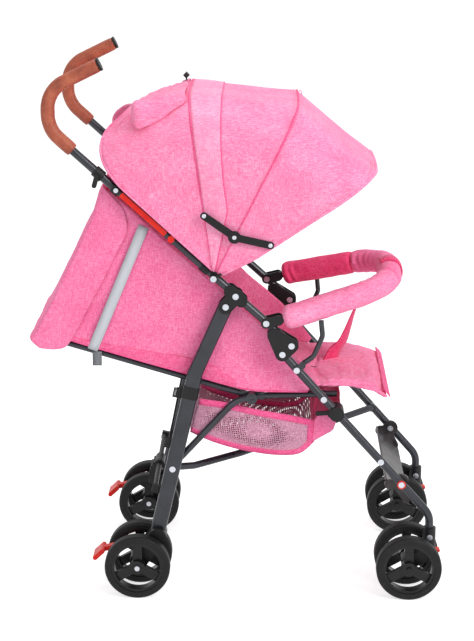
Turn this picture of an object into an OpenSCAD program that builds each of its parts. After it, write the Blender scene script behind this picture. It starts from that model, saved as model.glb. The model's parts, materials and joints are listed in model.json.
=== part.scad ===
// Umbrella baby stroller: folding tube frame, twin-wheel casters, reclining seat and three-bow canopy.
// Millimetres, +X forwards, +Y to the rider's left, +Z up, ground at Z = 0.
// Side views are drawn in X and Z, with X counted from the rear axle.

/* [Wheels] */
// Rear axle to front axle
wheelbase = 530; // [490:5:570]
// Wheel diameter over the tyre
wheel_d = 128; // [116:2:136]
// Width of one wheel
wheel_w = 26; // [20:1:30]
// Centre to centre of the two wheels at one corner
twin_gap = 76; // [72:1:84]
// Depth of the tyre ring
tyre_t = 13; // [8:1:16]
// Axle diameter
axle_d = 10; // [8:1:12]
// Distance that the front axle trails behind its swivel stem
trail = 41; // [34:1:48]

/* [Frame tubes] */
// Distance between the middles of the two side frames
frame_w = 350; // [340:5:380]
// Diameter of the handle tubes and the front tubes
tube_d = 16; // [14:1:18]
// Tilt of the handle tubes from level
upper_tilt = 42.3; // [41:0.1:44]
// Fold joint, forwards of the rear axle
fold_x = 298; // [288:1:308]
// Height of the fold joint
fold_z = 505; // [495:1:515]
// Spacing of the two rivets in a fold plate
fold_gap = 24.3; // [22:0.1:27]
// Height at which the front tubes turn upright
bend_z = 160; // [154:1:170]
// Thickness of the pressed cheek plates
cheek_t = 3; // [2:0.5:4]
// Diameter of the rivet shanks
rivet_d = 6; // [5:0.5:7]

/* [Handles] */
// Fold joint to the handle's bend, along the tube
handle_len = 615; // [600:5:630]
// Rise of the handle's upright part
handle_rise = 72; // [70:1:84]
// Length of the handle's top part
handle_tip = 106; // [90:2:120]
// Outside diameter of the grips
grip_d = 25; // [22:1:28]

/* [Rear legs] */
// Fold joint to the rear leg's bracket, along the tube
leg_back = 144; // [138:1:150]
// Drop from the tube's middle to the leg's pivot
leg_drop = 28; // [25:1:32]
// Width of the flat-oval leg
leg_w = 30; // [26:1:32]
// Thickness of the flat-oval leg
leg_t = 15; // [12:1:15]
// Length of the leg above its knee
leg_top = 147; // [140:1:155]
// Knee to the brace rivet, along the leg
brace_down = 198; // [190:2:210]

/* [Seat] */
// Fold joint to the seat pivot, along the front tube
seat_down = 121; // [116:1:128]
// Seat pivot back to the seat knuckle
seat_len = 139; // [132:1:146]
// Diameter of the seat and back tubes
back_d = 12; // [10:1:13]
// Length of the back frame
back_len = 432; // [400:4:440]
// Tilt of the back frame from level, lying flat
back_tilt = 16.5; // [14:0.5:18]
// Thickness of the seat pad
pad_t = 16; // [12:1:20]
// Thickness of the back pad
back_pad_t = 24; // [16:1:28]
// Seat pivot forwards to the seat's front edge
seat_nose = 124; // [100:2:130]
// Diameter of the curved seat braces
brace_d = 13; // [11:1:13]

/* [Canopy] */
// Fold joint to the canopy hub, along the tube
hub_back = 200; // [194:1:206]
// Bow radius of the rear bow
bow_r = 331; // [322:1:340]
// Radial step from one bow to the next one forwards
bow_step = 10; // [8:1:12]
// Diameter of the canopy bows
bow_d = 5; // [4:0.5:5]
// Corner radius of the canopy bows
bow_corner = 98; // [80:2:110]
// Angle of the front bow above level
front_bow_a = 32; // [28:1:35]
// Angle of the main bow above level
main_bow_a = 63.6; // [62:0.2:66]
// Angle of the rear bow above level
rear_bow_a = 98; // [96:0.5:100]
// Thickness of the canopy cloth with its lining
cloth_t = 2; // [1.5:0.5:3]

/* [Bumper bar] */
// Fold joint to the bar's bracket, along the tube
bar_back = 65.5; // [62:0.5:70]
// Reach of the bar in front of its brackets
bar_reach = 250; // [230:2:270]
// Width of the bar between the corners of its front
bar_front = 230; // [200:5:300]
// Tilt of the bar above level
bar_tilt = 14; // [10:0.5:16]
// Diameter of the bar's tube
bar_d = 14; // [10:1:16]
// Diameter of the bar's padding
bar_pad_d = 46; // [36:1:48]
// Corner radius of the bar
bar_corner = 105; // [80:5:115]

/* [Basket] */
// Length of the basket's top edge
basket_len = 220; // [200:5:230]
// Depth of the basket at its back
basket_h = 68; // [50:2:76]
// Thickness of the basket's cloth and mesh
basket_t = 2.5; // [2:0.5:3]

/* [Hidden] */
$fn = 48;

painted = "#3A3D47";
black = "#1E1F22";
pink = "#F77FB0";
zinc = "#C9CCD2";

run_fit = 0.05;              // radial clearance of a pin in a bore
side_gap = 0.5;              // clearance between moving flats
lap = 0.5;                   // straight lengths of a tube run this far into its bends
neck = 0.16;                 // a bend is drawn this much thinner
half_w = frame_w / 2;
wheel_r = wheel_d / 2;
caster_x = wheelbase + trail;

// Side view points. A and B are the two rivets of the fold plate.
u_dir = [-cos(upper_tilt), sin(upper_tilt)];
u_nrm = [-sin(upper_tilt), -cos(upper_tilt)];
fold_a = [fold_x, fold_z];
plate_dir = [-sin(45.4), -cos(45.4)];
fold_b = fold_a + fold_gap * plate_dir;
lower_tilt = atan((fold_b.y - bend_z) / (caster_x - fold_b.x));
lower_len = norm([caster_x, bend_z] - fold_b);
l_dir = [cos(lower_tilt), -sin(lower_tilt)];
l_nrm = [-sin(lower_tilt), -cos(lower_tilt)];
function upper_at(s, off = 0) = fold_a + s * u_dir + off * u_nrm;
function lower_at(s, off = 0) = fold_b + s * l_dir + off * l_nrm;
function polar(r, a) = [r * cos(a), r * sin(a)];

tube_r = tube_d / 2;
cheek_in = half_w - tube_r - cheek_t;            // inner face of the inner cheeks
cheek_out = half_w + tube_r;                     // inner face of the outer cheeks
plate_w = 4.5 * rivet_d;
plate_top = upper_at(38, 7);
handle_knee = upper_at(handle_len);
handle_top = handle_knee + [0, handle_rise];
handle_end = handle_top + polar(handle_tip, 26);
grip_start = handle_len - 60;

leg_pivot = upper_at(leg_back, leg_drop);
leg_knee = leg_pivot - polar(leg_top, 66.2);
leg_foot = [38.6, 124];
leg_dir = (leg_foot - leg_knee) / norm(leg_foot - leg_knee);
brace_rivet = leg_knee + brace_down * leg_dir;
leg_in = half_w - leg_t / 2;

// Layers inboard of the legs, each clear of the next
brace_y = leg_in - side_gap - brace_d / 2 - 1;
seat_y = brace_y - brace_d / 2 - side_gap - back_d / 2 - 1;
seat_pivot = lower_at(seat_down);
knuckle = seat_pivot - polar(seat_len, 2);
lug_t = back_d / 2 - side_gap;
pad_low = seat_pivot.y + back_d / 2 + 1.5;
seat_half = brace_y - brace_d / 2 - 2;
back_half = seat_y + back_d / 2 - 1;

hub = upper_at(hub_back);
layer = bow_d + 0.5;
bow_y = cheek_out + 1.5 + bow_d / 2;             // rear bow's plane; the others lie one layer out each
socket_d = tube_d + 10;
socket_top = 134;
socket_low = 104;
stem_top = 111.5;
stem_d = 10;
bar_pivot = upper_at(bar_back);
bar_dir = polar(1, bar_tilt);

back_dir = polar(-1, -back_tilt);
back_nrm = [sin(back_tilt), cos(back_tilt)];
back_end = knuckle + back_len * back_dir;
x_back = back_end.x - 20.18;                     // rearmost edge of the head end
x_mid = (x_back + wheelbase + wheel_r) / 2;

// ---- shared shapes ----

module origin() {
  translate([-x_mid, 0, 0]) children();
}

module both_sides() {
  children();
  mirror([0, 1, 0]) children();
}

module on_side(s) {
  if (s > 0) children();
  else mirror([0, 1, 0]) children();
}

// Extrudes a side view from y0 outwards by t.
module slab(y0, t) {
  translate([0, y0 + t, 0]) rotate([90, 0, 0]) linear_extrude(height = t) children();
}

module pin(p, y0, y1, d) {
  translate([p.x, y0, p.y]) rotate([-90, 0, 0]) cylinder(h = y1 - y0, d = d);
}

module disc_at(p, d) {
  translate(p) circle(d = d);
}

// A bar of width w between two points, with round ends.
module link(p, q, w) {
  v = q - p;
  translate(p) rotate(atan2(v.y, v.x)) translate([0, -w / 2 + 0.04]) square([norm(v), w - 0.08]);
  disc_at(p, w);
  disc_at(q, w);
}

module rod(p, q, d) {
  v = q - p;
  translate(p) rotate([0, acos(v.z / norm(v)), atan2(v.y, v.x)]) translate([0, 0, -lap])
    cylinder(h = norm(v) + 2 * lap, d = d);
}

function angles_of(e, n) =
  let (b = cross(e, n))
  [atan2(n.z, b.z), -asin(e.z), atan2(e.y, e.x)];

// A round rod through the points, with an arc of centreline radius r at each inner point.
module bent_rod(p, r, d) {
  turns = [for (i = [0 : len(p) - 1]) i == 0 || i == len(p) - 1 ? 0
    : acos(unit(p[i] - p[i - 1]) * unit(p[i + 1] - p[i]))];
  for (i = [0 : len(p) - 2]) {
    v = unit(p[i + 1] - p[i]);
    rod(p[i] + r * tan(turns[i] / 2) * v, p[i + 1] - r * tan(turns[i + 1] / 2) * v, d);
  }
  for (i = [1 : len(p) - 2]) {
    v = unit(p[i] - p[i - 1]);
    w = unit(p[i + 1] - p[i]);
    n = unit(w - (w * v) * v);
    translate(p[i] - r * tan(turns[i] / 2) * v + r * n) rotate(angles_of(v, n)) rotate([0, 0, -90])
      rotate_extrude(angle = turns[i]) translate([r, 0]) circle(d = d - neck);
  }
}

function unit(v) = v / norm(v);
function turn_at(p, i) = let (a = p[i] - p[i - 1], b = p[i + 1] - p[i]) atan2(cross(a, b), a * b);
function trim_at(p, i, r) = (i == 0 || i == len(p) - 1) ? 0 : r * tan(abs(turn_at(p, i)) / 2);

// A round tube along a flat path, its corners bent to radius r.
module bent_tube(p, r, d) {
  for (i = [0 : len(p) - 2]) {
    dir = unit(p[i + 1] - p[i]);
    a = p[i] + dir * trim_at(p, i, r);
    b = p[i + 1] - dir * trim_at(p, i + 1, r);
    translate([a.x, a.y, 0]) rotate([0, 90, atan2(dir.y, dir.x)]) translate([0, 0, -lap])
      cylinder(h = norm(b - a) + 2 * lap, d = d);
  }
  for (i = [1 : len(p) - 2]) {
    t = turn_at(p, i);
    dir = unit(p[i] - p[i - 1]);
    a = p[i] - dir * trim_at(p, i, r);
    c = a + r * sign(t) * [-dir.y, dir.x];
    from = atan2(a.y - c.y, a.x - c.x) + min(t, 0);
    translate([c.x, c.y, 0]) rotate([0, 0, from]) rotate_extrude(angle = abs(t)) translate([r, 0])
      circle(d = d - neck);
  }
}

module tube_side(p, r, d, y) {
  translate([0, y, 0]) rotate([90, 0, 0]) bent_tube(p, r, d);
}

// A rivet across one side frame, with low round heads.
module rivet(p, y0, y1) {
  pin(p, y0 - 0.01, y1 + 0.01, rivet_d);
  pin(p, y0 - 2.2, y0, 2 * rivet_d);
  pin(p, y1, y1 + 2.2, 2 * rivet_d);
}

// ---- handle and front tubes ----

handle_path = [upper_at(-11), handle_knee, handle_top, handle_end];
handle_bend = 60;

module handle_tube(s) {
  color(painted) on_side(s) difference() {
    tube_side(handle_path, handle_bend, tube_d, half_w);
    for (p = [fold_a, bar_pivot, upper_at(leg_back), hub])
      pin(p, half_w - tube_d, half_w + tube_d, rivet_d + 2 * run_fit);
  }
}

module front_tube(s) {
  path = [lower_at(-11), [caster_x, bend_z], [caster_x, stem_top + 1 + lap + run_fit]];
  color(painted) on_side(s) difference() {
    tube_side(path, 40, tube_d, half_w);
    for (p = [fold_b, lower_at(41.7), seat_pivot, cross_rivet, foot_pivot, socket_rivet])
      pin(p, half_w - tube_d, half_w + tube_d, rivet_d + 2 * run_fit);
  }
}

module grip(s) {
  path = [upper_at(grip_start), handle_knee, handle_top, handle_end];
  color("#A9553B") on_side(s) difference() {
    tube_side(path, handle_bend, grip_d, half_w);
    tube_side(path, handle_bend, tube_d + 2 * run_fit, half_w);
  }
}

module grip_end_caps() {
  tip = handle_end + polar(lap + 0.02, 26);
  color(black) both_sides()
    translate([tip.x, half_w, tip.y]) rotate([0, 90 - 26, 0]) cylinder(h = 4, d = grip_d);
}

module fold_plates() {
  color(black) both_sides() {
    for (y = [cheek_in, cheek_out]) slab(y, cheek_t) difference() {
      union() {
        link(fold_a, fold_b, plate_w);
        link(fold_a, plate_top, plate_w);
        link(fold_b, plate_top, plate_w);
        polygon([fold_a, fold_b, plate_top]);
      }
      for (p = [fold_a, fold_b]) disc_at(p, rivet_d + 2 * run_fit);
    }
  }
}

module leg_brackets() {
  top = upper_at(leg_back);
  color(black) both_sides() {
    for (y = [cheek_in, cheek_out]) slab(y, cheek_t) difference() {
      union() {
        link(top, leg_pivot, 28);
        link(upper_at(leg_back + 14), upper_at(leg_back - 14), 24);
      }
      for (p = [top, leg_pivot]) disc_at(p, rivet_d + 2 * run_fit);
    }
  }
}

// Round collars on the handle tubes: strap hooks high up, canopy clips at the hub.
module tube_collar(s, w, d) {
  p = upper_at(s - w / 2);
  translate([p.x, half_w, p.y]) rotate([0, -90 + upper_tilt, 0]) difference() {
    cylinder(h = w, d = d);
    translate([0, 0, -1]) cylinder(h = w + 2, d = tube_d + 2 * run_fit);
  }
}

strap_at = handle_len - 169;
hook_at = handle_len - 125;
strip_at = handle_len - 293;

module tube_clips() {
  color(black) both_sides() {
    tube_collar(strap_at, 16, tube_d + 6);
    tube_collar(hook_at, 20, tube_d + 6);
    slab(half_w + tube_r + 3.5, 4) link(upper_at(hook_at, 4), upper_at(hook_at - 8, 20), 9);
    tube_collar(hub_back + 22, 18, tube_d + 4);
    bar_bracket();
  }
}

module red_edge_strips() {
  color("#D8161B") both_sides() {
    slab(half_w + tube_r + run_fit, 2.2) translate(upper_at(0)) rotate(180 - upper_tilt)
      translate([strip_at, -5]) square([112, 10]);
    p = upper_at(strip_at - 14);
    pin(p, half_w + tube_r + run_fit, half_w + tube_r + run_fit + 4, 13);
  }
}

// ---- bumper bar ----

module on_bar() {
  translate([bar_pivot.x, 0, bar_pivot.y]) rotate([0, -bar_tilt, 0]) children();
}

bar_start = 36;
bar_bend = 56;

// The arms run straight out of their brackets, then lean in towards the front.
module bar_path_tube(from, d) {
  arm = [[from, half_w], [bar_bend, half_w], [bar_reach, bar_front / 2]];
  bent_tube(concat(arm, [for (i = [2 : -1 : 0]) [arm[i].x, -arm[i].y]]), bar_corner, d);
}

module bumper_tube() {
  color(painted) on_bar() bar_path_tube(15.2, bar_d);
}

module bumper_pad() {
  color(pink) on_bar() difference() {
    bar_path_tube(bar_start, bar_pad_d);
    bar_path_tube(bar_start - 1, bar_d + 2 * run_fit);
  }
}

module bar_bracket() {
  for (y = [cheek_in, cheek_out]) slab(y, cheek_t) difference() {
    link(bar_pivot, bar_pivot + 24 * bar_dir, 20);
    disc_at(bar_pivot, rivet_d + 2 * run_fit);
  }
}

hoop_foot = lower_at(41.7);

module bumper_hoops() {
  lean = (half_w - bar_front / 2) * (108 - bar_bend) / (bar_reach - bar_bend);
  under_pad = sqrt(pow(bar_pad_d / 2, 2) - pow(max(0, lean - 5), 2));
  up = bar_pivot + 108 * bar_dir - [0, under_pad + lap + 2.4];
  land = lower_at(41.7, -tube_r - 6);
  path = [up, up + [3, -30], land + [22, 16], land];
  color(black) both_sides() {
    tube_side(path, 16, 10, half_w);
    slab(cheek_out, cheek_t) difference() {
      link(hoop_foot, land, 13);
      disc_at(hoop_foot, rivet_d + 2 * run_fit);
    }
    slab(half_w + 2, tube_r - 2) disc_at(land, 10);
  }
}

module crotch_strap() {
  low = [seat_pivot.x + 14, pad_low + pad_t + 3];
  front = bar_pivot + bar_reach * bar_dir + polar(bar_pad_d / 2 + 1.6, -120);
  route = [low, low + [27, 38], low + [48, 98], low + [72, 134], front];
  color("#E86CA0") slab(-19, 38)
    strip_path(route, 2.4);
}

// ---- lower frame ----

cross_rivet = lower_at(lower_len - 148);
foot_pivot = lower_at(lower_len - 86);
socket_rivet = [caster_x, 117];
cross_seat = half_w - tube_r - 0.3;              // outer face of the cross tube's eye
block_at = lower_at(159);

function on_lower(s) = [lower_at(s).x, half_w, lower_at(s).y];

module corner_block() {
  color(black) on_side(-1) difference() {
    union() {
      slab(half_w - tube_r - 15, tube_d + 21) disc_at(block_at, 29);
      slab(half_w - tube_r - 15, 5) link(block_at + [-4, -6], block_at + [-36, -9], 8);
    }
    rod(on_lower(100), on_lower(220), tube_d + 2 * run_fit);
    mirror([0, 1, 0]) rod(cross_high[3], cross_high[4] + 0.3 * unit(cross_high[4] - cross_high[3]),
      cross_d + 2 * run_fit);
  }
}

cross_d = 14;
cross_rear = [brace_rivet.x, brace_y - brace_d / 2 - 1 - cross_d / 2, brace_rivet.y - 9];
cross_low = [
  [cross_rear.x, -cross_rear.y, cross_rear.z],
  [cross_rear.x + 40, -cross_rear.y + 26, cross_rear.z - 6],
  [cross_rear.x + 132, -52, cross_rear.z - 2],
  [cross_rivet.x, cross_seat - cross_d / 2 - 0.2, cross_rivet.y]];
cross_high = [
  cross_rear,
  [cross_rear.x + 40, cross_rear.y - 30, cross_rear.z],
  [cross_rear.x + 180, -17, cross_rear.z + 20],
  [cross_rear.x + 232, -67, cross_rear.z + 26],
  [block_at.x - 3, -half_w + tube_r + 10, block_at.y - 5]];

// Where the line from p to q passes over or under the line from r to s.
function crossing(p, q, r, s) =
  let (a = q - p, b = s - r, c = r - p)
  p + (c.x * b.y - c.y * b.x) / (a.x * b.y - a.y * b.x) * a;

under = crossing(cross_low[2], cross_low[3], cross_high[1], cross_high[2]);
over = crossing(cross_high[1], cross_high[2], cross_low[2], cross_low[3]);

// Two bent tubes that cross below the basket: one from each rear brace rivet to the other side's front tube.
module cross_tubes() {
  color(painted) {
    difference() {
      union() {
        bent_rod(cross_low, 60, cross_d);
        slab(cross_seat - 9, 9) disc_at(cross_rivet, cross_d + 4);
      }
      pin(cross_rivet, cross_seat - 8, cross_seat + 1, rivet_d + 2 * run_fit);
      translate(under - [0, 0, cross_d]) cylinder(h = 2 * cross_d, d = rivet_d + 2 * run_fit);
    }
    difference() {
      bent_rod(cross_high, 60, cross_d);
      translate(over - [0, 0, cross_d]) cylinder(h = 2 * cross_d, d = rivet_d + 2 * run_fit);
    }
  }
}

module caster_sockets() {
  color(black) both_sides() difference() {
    translate([caster_x, half_w, socket_low]) cylinder(h = socket_top - socket_low, d = socket_d);
    translate([caster_x, half_w, stem_top + 1]) cylinder(h = socket_top, d = tube_d + 2 * run_fit);
    translate([caster_x, half_w, socket_low - 1]) cylinder(h = socket_top, d = stem_d + 2 * run_fit);
    pin(socket_rivet, half_w - socket_d, half_w + socket_d, rivet_d + 2 * run_fit);
  }
}

bows_out = bow_y + 2 * layer + bow_d / 2 + 0.5;

module frame_rivets() {
  color(zinc) {
    both_sides() {
      for (p = [fold_a, fold_b, upper_at(leg_back), leg_pivot, bar_pivot])
        rivet(p, cheek_in, cheek_out + cheek_t);
      rivet(hub, half_w - tube_r, bows_out);
      rivet(hoop_foot, half_w - tube_r, cheek_out + cheek_t);
      rivet(seat_pivot, seat_y - back_d / 2 - 0.5, cheek_out);
      pin(seat_pivot, seat_y + back_d / 2 + side_gap, half_w - tube_r, 2 * rivet_d);
      rivet(foot_pivot, foot_ear_y - 0.5, cheek_out);
      rivet(socket_rivet, half_w - socket_d / 2, half_w + socket_d / 2);
      pin(upper_at(strap_at), half_w + tube_r + 3, half_w + tube_r + 5, 9);
    }
    on_side(-1) rivet(cross_rivet, half_w - tube_r, cheek_out);
    pin(cross_rivet, cross_seat - 7.5, cheek_out + 0.01, rivet_d);
    pin(cross_rivet, cheek_out, cheek_out + 2.2, 2 * rivet_d);
    reach = cross_d / 2 + 0.9;
    translate(under - [0, 0, reach + 0.01]) cylinder(h = over.z - under.z + 2 * reach + 0.02, d = rivet_d);
    translate(under - [0, 0, reach + 2.2]) cylinder(h = 2.2, d = 2 * rivet_d);
    translate(over + [0, 0, reach]) cylinder(h = 2.2, d = 2 * rivet_d);
  }
}

// ---- footrest ----

foot_ear_y = half_w - tube_r - 6;

module footrest() {
  low = foot_pivot + 42 * l_dir + 17 * l_nrm;
  high = foot_pivot - 20 * l_dir + 20 * l_nrm;
  color("#2A2A2E") {
    slab(-foot_ear_y + 4, 2 * foot_ear_y - 8) link(high, low, 5);
    both_sides() slab(foot_ear_y, 5.5) difference() {
      union() {
        disc_at(foot_pivot, 32);
        link(foot_pivot + 8 * l_nrm, high + 10 * l_dir, 20);
        link(foot_pivot + 8 * l_nrm, low - 6 * l_dir, 14);
      }
      disc_at(foot_pivot, rivet_d + 2 * run_fit);
    }
    both_sides() slab(foot_ear_y - 5, 6) link(high, low, 5);
  }
}

// ---- canopy ----

module at_hub() {
  translate([hub.x, 0, hub.y]) children();
}

// A hoop in the plane at angle a above level, in layer k counted outwards from the rear bow.
module bow(a, k) {
  w = bow_y + k * layer;
  r = bow_r + k * bow_step;
  at_hub() rotate([0, -a, 0]) {
    bent_tube([[rivet_d, w], [r, w], [r, -w], [rivet_d, -w]], bow_corner, bow_d);
    both_sides() translate([0, w + bow_d / 2 - 0.2, 0]) rotate([90, 0, 0]) difference() {
      cylinder(h = bow_d - 0.4, d = 2.4 * rivet_d);
      translate([0, 0, -1]) cylinder(h = bow_d + 2, d = rivet_d + 2 * run_fit);
    }
  }
}

module canopy_profile(r, w, c, low) {
  translate([low, -w]) square([r - c - low, 2 * w]);
  translate([r - c - 1, -w + c]) square([c + 1, 2 * (w - c)]);
  for (y = [-1, 1]) translate([r - c, y * (w - c)]) circle(r = c, $fn = 96);
}

// Cloth turned about the hub from angle a by sweep, with an open front and back.
module canopy_cloth(a, sweep, k, low) {
  w = bow_y + k * layer + cloth_t / 2;
  r = bow_r + k * bow_step + cloth_t / 2;
  at_hub() rotate([90, 0, 0]) rotate([0, 0, a]) rotate_extrude(angle = sweep, $fn = 96) difference() {
    canopy_profile(r, w, bow_corner, low);
    canopy_profile(r - cloth_t, w - cloth_t, bow_corner - cloth_t, low - 1);
  }
}

main_sweep = rear_bow_a - main_bow_a - 2.2;
front_sweep = main_bow_a - front_bow_a - 1.6;
stay_y = bows_out + 0.5 + 2.3;
stay_t = 2.5;
stay_w = 14;
rear_stay_pin = hub + polar(123, rear_bow_a);
front_stay_pin = hub + polar(126, front_bow_a);
stay_span = front_stay_pin - rear_stay_pin;
stay_len = norm(stay_span) / 2 + 1.3;
stay_h = sqrt(stay_len * stay_len - stay_span * stay_span / 4);
stay_knee = (rear_stay_pin + front_stay_pin) / 2 + stay_h * unit([stay_span.y, -stay_span.x]);

module rear_bow() {
  color(black) {
    bow(rear_bow_a, 0);
    both_sides() pin(rear_stay_pin, bow_y, stay_y + stay_t + 1, 4);
  }
}

module main_bow() {
  color(black) bow(main_bow_a, 1);
}

module front_bow() {
  color(black) {
    bow(front_bow_a, 2);
    both_sides() pin(front_stay_pin, bow_y + 2 * layer, stay_y + 2 * stay_t + 1.5, 4);
  }
}

module canopy_rear_panel() {
  color(pink) canopy_cloth(rear_bow_a + 1, 131 - rear_bow_a - 1, 0, 70);
}

module canopy_main_panel() {
  color(pink) canopy_cloth(main_bow_a + 0.8, main_sweep, 1, 64);
}

module canopy_front_panel() {
  color(pink) canopy_cloth(front_bow_a + 0.8, front_sweep, 2, 64);
}

// The rolled-up rear window flap: a soft roll lying on the rear panel behind the rear bow.
module rolled_flap() {
  r = bow_r + cloth_t / 2 + 1;
  color(pink) at_hub() rotate([90, 0, 0]) rotate([0, 0, rear_bow_a + 4])
    rotate_extrude(angle = 16, $fn = 96) intersection() {
      translate([r, -half_w + 25]) square([16, 2 * half_w - 50]);
      canopy_profile(r + 16, bow_y + 10, bow_corner, 64);
    }
}

module flap_toggle() {
  p = hub + polar(bow_r + 20, rear_bow_a + 2);
  color(black) translate([p.x, half_w - 92, p.y]) {
    translate([0, 0, -13]) cylinder(h = 14, d = 3);
    rotate([0, 45, 0]) cube([9, 16, 9], center = true);
  }
}

module stay_rear_arms() {
  color(black) both_sides() {
    slab(stay_y, stay_t) difference() {
      link(rear_stay_pin, stay_knee, stay_w);
      disc_at(rear_stay_pin, 4 + 2 * run_fit);
    }
    pin(stay_knee, stay_y, stay_y + stay_t, 16);
  }
}

module stay_front_arms() {
  color(black) both_sides() {
    slab(stay_y + stay_t + side_gap, stay_t) difference() {
      union() {
        link(front_stay_pin, stay_knee, stay_w);
        disc_at(stay_knee, 24);
      }
      disc_at(front_stay_pin, 4 + 2 * run_fit);
    }
    pin(stay_knee, stay_y + 2 * stay_t + side_gap, stay_y + 2 * stay_t + 2.5, 9);
  }
}

// ---- seat and back ----

module seat_tubes() {
  dir = unit(seat_pivot - knuckle);
  color(painted) both_sides() {
    difference() {
      union() {
        tube_side([knuckle + 13 * dir, seat_pivot + 26 * dir], 10, back_d, seat_y);
        slab(seat_y - back_d / 2 + 0.2, lug_t - 0.2) link(knuckle, knuckle + 16 * dir, back_d + 3);
        slab(seat_y - 4, 8) disc_at(knuckle + 20 * dir, back_d + 3);
      }
      pin(seat_pivot, seat_y - back_d, seat_y + back_d, rivet_d + 2 * run_fit);
    }
    pin(knuckle, seat_y - back_d / 2 - 1, seat_y + back_d / 2 + 1.5, rivet_d);
  }
}

module seat_pad() {
  x0 = knuckle.x + 6;
  xf = seat_pivot.x + 34;
  xn = seat_pivot.x + seat_nose;
  color(pink) slab(-seat_half, 2 * seat_half) polygon([
    [x0, pad_low - 2], [xf, pad_low], [xn, pad_low - 21], [xn + 3, pad_low - 15],
    [xn - 6, pad_low - 20 + pad_t], [xf, pad_low + pad_t], [x0, pad_low - 2 + pad_t]]);
}

module back_frame() {
  color(painted) {
    translate([knuckle.x, 0, knuckle.y]) rotate([0, back_tilt, 0])
      bent_tube([[-13, seat_y], [-back_len, seat_y], [-back_len, -seat_y], [-13, -seat_y]], 60, back_d);
    both_sides() difference() {
      union() {
        slab(seat_y + side_gap, lug_t - 0.2) link(knuckle, knuckle + 16 * back_dir, back_d + 3);
        slab(seat_y - 4, 8) disc_at(knuckle + 20 * back_dir, back_d + 3);
      }
      pin(knuckle, seat_y, seat_y + back_d, rivet_d + 2 * run_fit);
    }
  }
}

module back_pad() {
  low = back_d / 2 + 0.7;
  color(pink) translate([knuckle.x, 0, knuckle.y]) rotate([0, back_tilt, 0])
    translate([-back_len + 4, -back_half, low]) cube([back_len - 44, 2 * back_half, back_pad_t]);
}

module seat_braces() {
  bend = [knuckle.x - 29, knuckle.y - 2];
  y0 = brace_y - brace_d / 2;
  color(painted) both_sides() difference() {
    union() {
      tube_side([brace_rivet, bend, knuckle], 58, brace_d, brace_y);
      slab(y0, brace_d) disc_at(knuckle, 22);
      slab(y0, brace_d) disc_at(brace_rivet, 16);
      for (p = [knuckle + [-1, 4], knuckle + [2, -5]]) pin(p, y0 + brace_d - 0.01, y0 + brace_d + 1.6, 8);
    }
    pin(brace_rivet, y0 - 1, y0 + brace_d + 1, rivet_d + 2 * run_fit);
  }
}

// ---- soft parts on the frame ----

// A folded strip of width w along the points, as one outline with square folds.
function strip_side(p, w) = [for (i = [0 : len(p) - 1])
  let (
    a = unit(p[max(i, 1)] - p[max(i, 1) - 1]),
    b = unit(p[min(i, len(p) - 2) + 1] - p[min(i, len(p) - 2)]),
    m = unit(a + b))
  p[i] + w / (m * a) * [-m.y, m.x]];

function backwards(p) = [for (i = [len(p) - 1 : -1 : 0]) p[i]];

module strip_path(p, w) {
  polygon(concat(strip_side(p, w / 2), backwards(strip_side(p, -w / 2))));
}

module basket() {
  top_back = [brace_rivet.x + 52, brace_rivet.y + 133];
  low_back = top_back - [17, basket_h - 3];
  floor_back = [top_back.x + 18, top_back.y - basket_h - 15];
  floor_mid = [top_back.x + 0.436 * basket_len, top_back.y - basket_h - 37];
  floor_front = [top_back.x + 0.81 * basket_len, floor_mid.y + 4];
  top_front = [top_back.x + basket_len, top_back.y - 42];
  walls = [top_back, low_back, floor_back, floor_mid, floor_front, top_front];
  w = seat_y + back_d / 2 + 1;
  color("#E88BB4") {
    slab(-w, 2 * w) strip_path(walls, basket_t);
    for (y = [-w, w - basket_t]) slab(y, basket_t) polygon(walls);
  }
}

head_top = upper_at(handle_len - 146, tube_r + 9.2);
head_low = back_end + [-19.18, 3.8];
head_back = [
  head_top,
  head_top + 0.19 * (head_low - head_top) + [7.7, 0],
  head_top + 0.58 * (head_low - head_top) + [10.3, 0],
  head_low,
  back_end + [-0.2, -19.2]];
head_front = [
  back_end + [52.8, -21.2],
  back_end + [66.8, -6.2],
  head_top + [39, -105],
  head_top + [47, -78],
  head_top + [42, -47]];
wing_y = seat_y + back_d / 2 + 1;

module head_panel() {
  color(pink) {
    slab(-wing_y - 8, 2 * wing_y + 16) strip_path(head_back, 2);
    both_sides() slab(wing_y + 6, 2) polygon(concat(head_back, head_front));
  }
}

module side_panels() {
  color("#EE5C97") both_sides() slab(wing_y, 2) polygon([
    upper_at(handle_len - 185, tube_r + 3), upper_at(30, tube_r + 3), seat_pivot + [-10, 10],
    knuckle + [10, 14], knuckle + [-60, 30], knuckle + 0.78 * back_len * back_dir + [0, 10],
    back_end + [80.8, 19.8]]);
}

module recline_straps() {
  top = upper_at(handle_len - 235, tube_r + 2);
  low = knuckle + 0.745 * back_len * back_dir;
  y0 = wing_y + 3;
  color("#D5D8DE") both_sides() {
    slab(y0, 2) link(top, low, 18);
    slab(y0, 2.5) translate(low + [0, -30]) square([16, 24]);
  }
}

// ---- rear legs ----

leg_lean = atan2(leg_knee.x - leg_foot.x, leg_knee.y - leg_foot.y);
leg_low_len = norm(leg_foot - leg_knee);

// The leg's frame: knee at the origin, -Z down the leg, -X rearwards.
module on_leg() {
  translate([leg_knee.x, 0, leg_knee.y]) rotate([0, leg_lean, 0]) children();
}

module oval(w, t) {
  square([w - t, t], center = true);
  for (x = [-1, 1]) translate([x * (w - t) / 2, 0]) circle(d = t);
}

module leg_oval(from, to, grow) {
  on_leg() translate([0, half_w, -to]) linear_extrude(height = to - from) oval(leg_w + grow, leg_t + grow);
}

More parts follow.
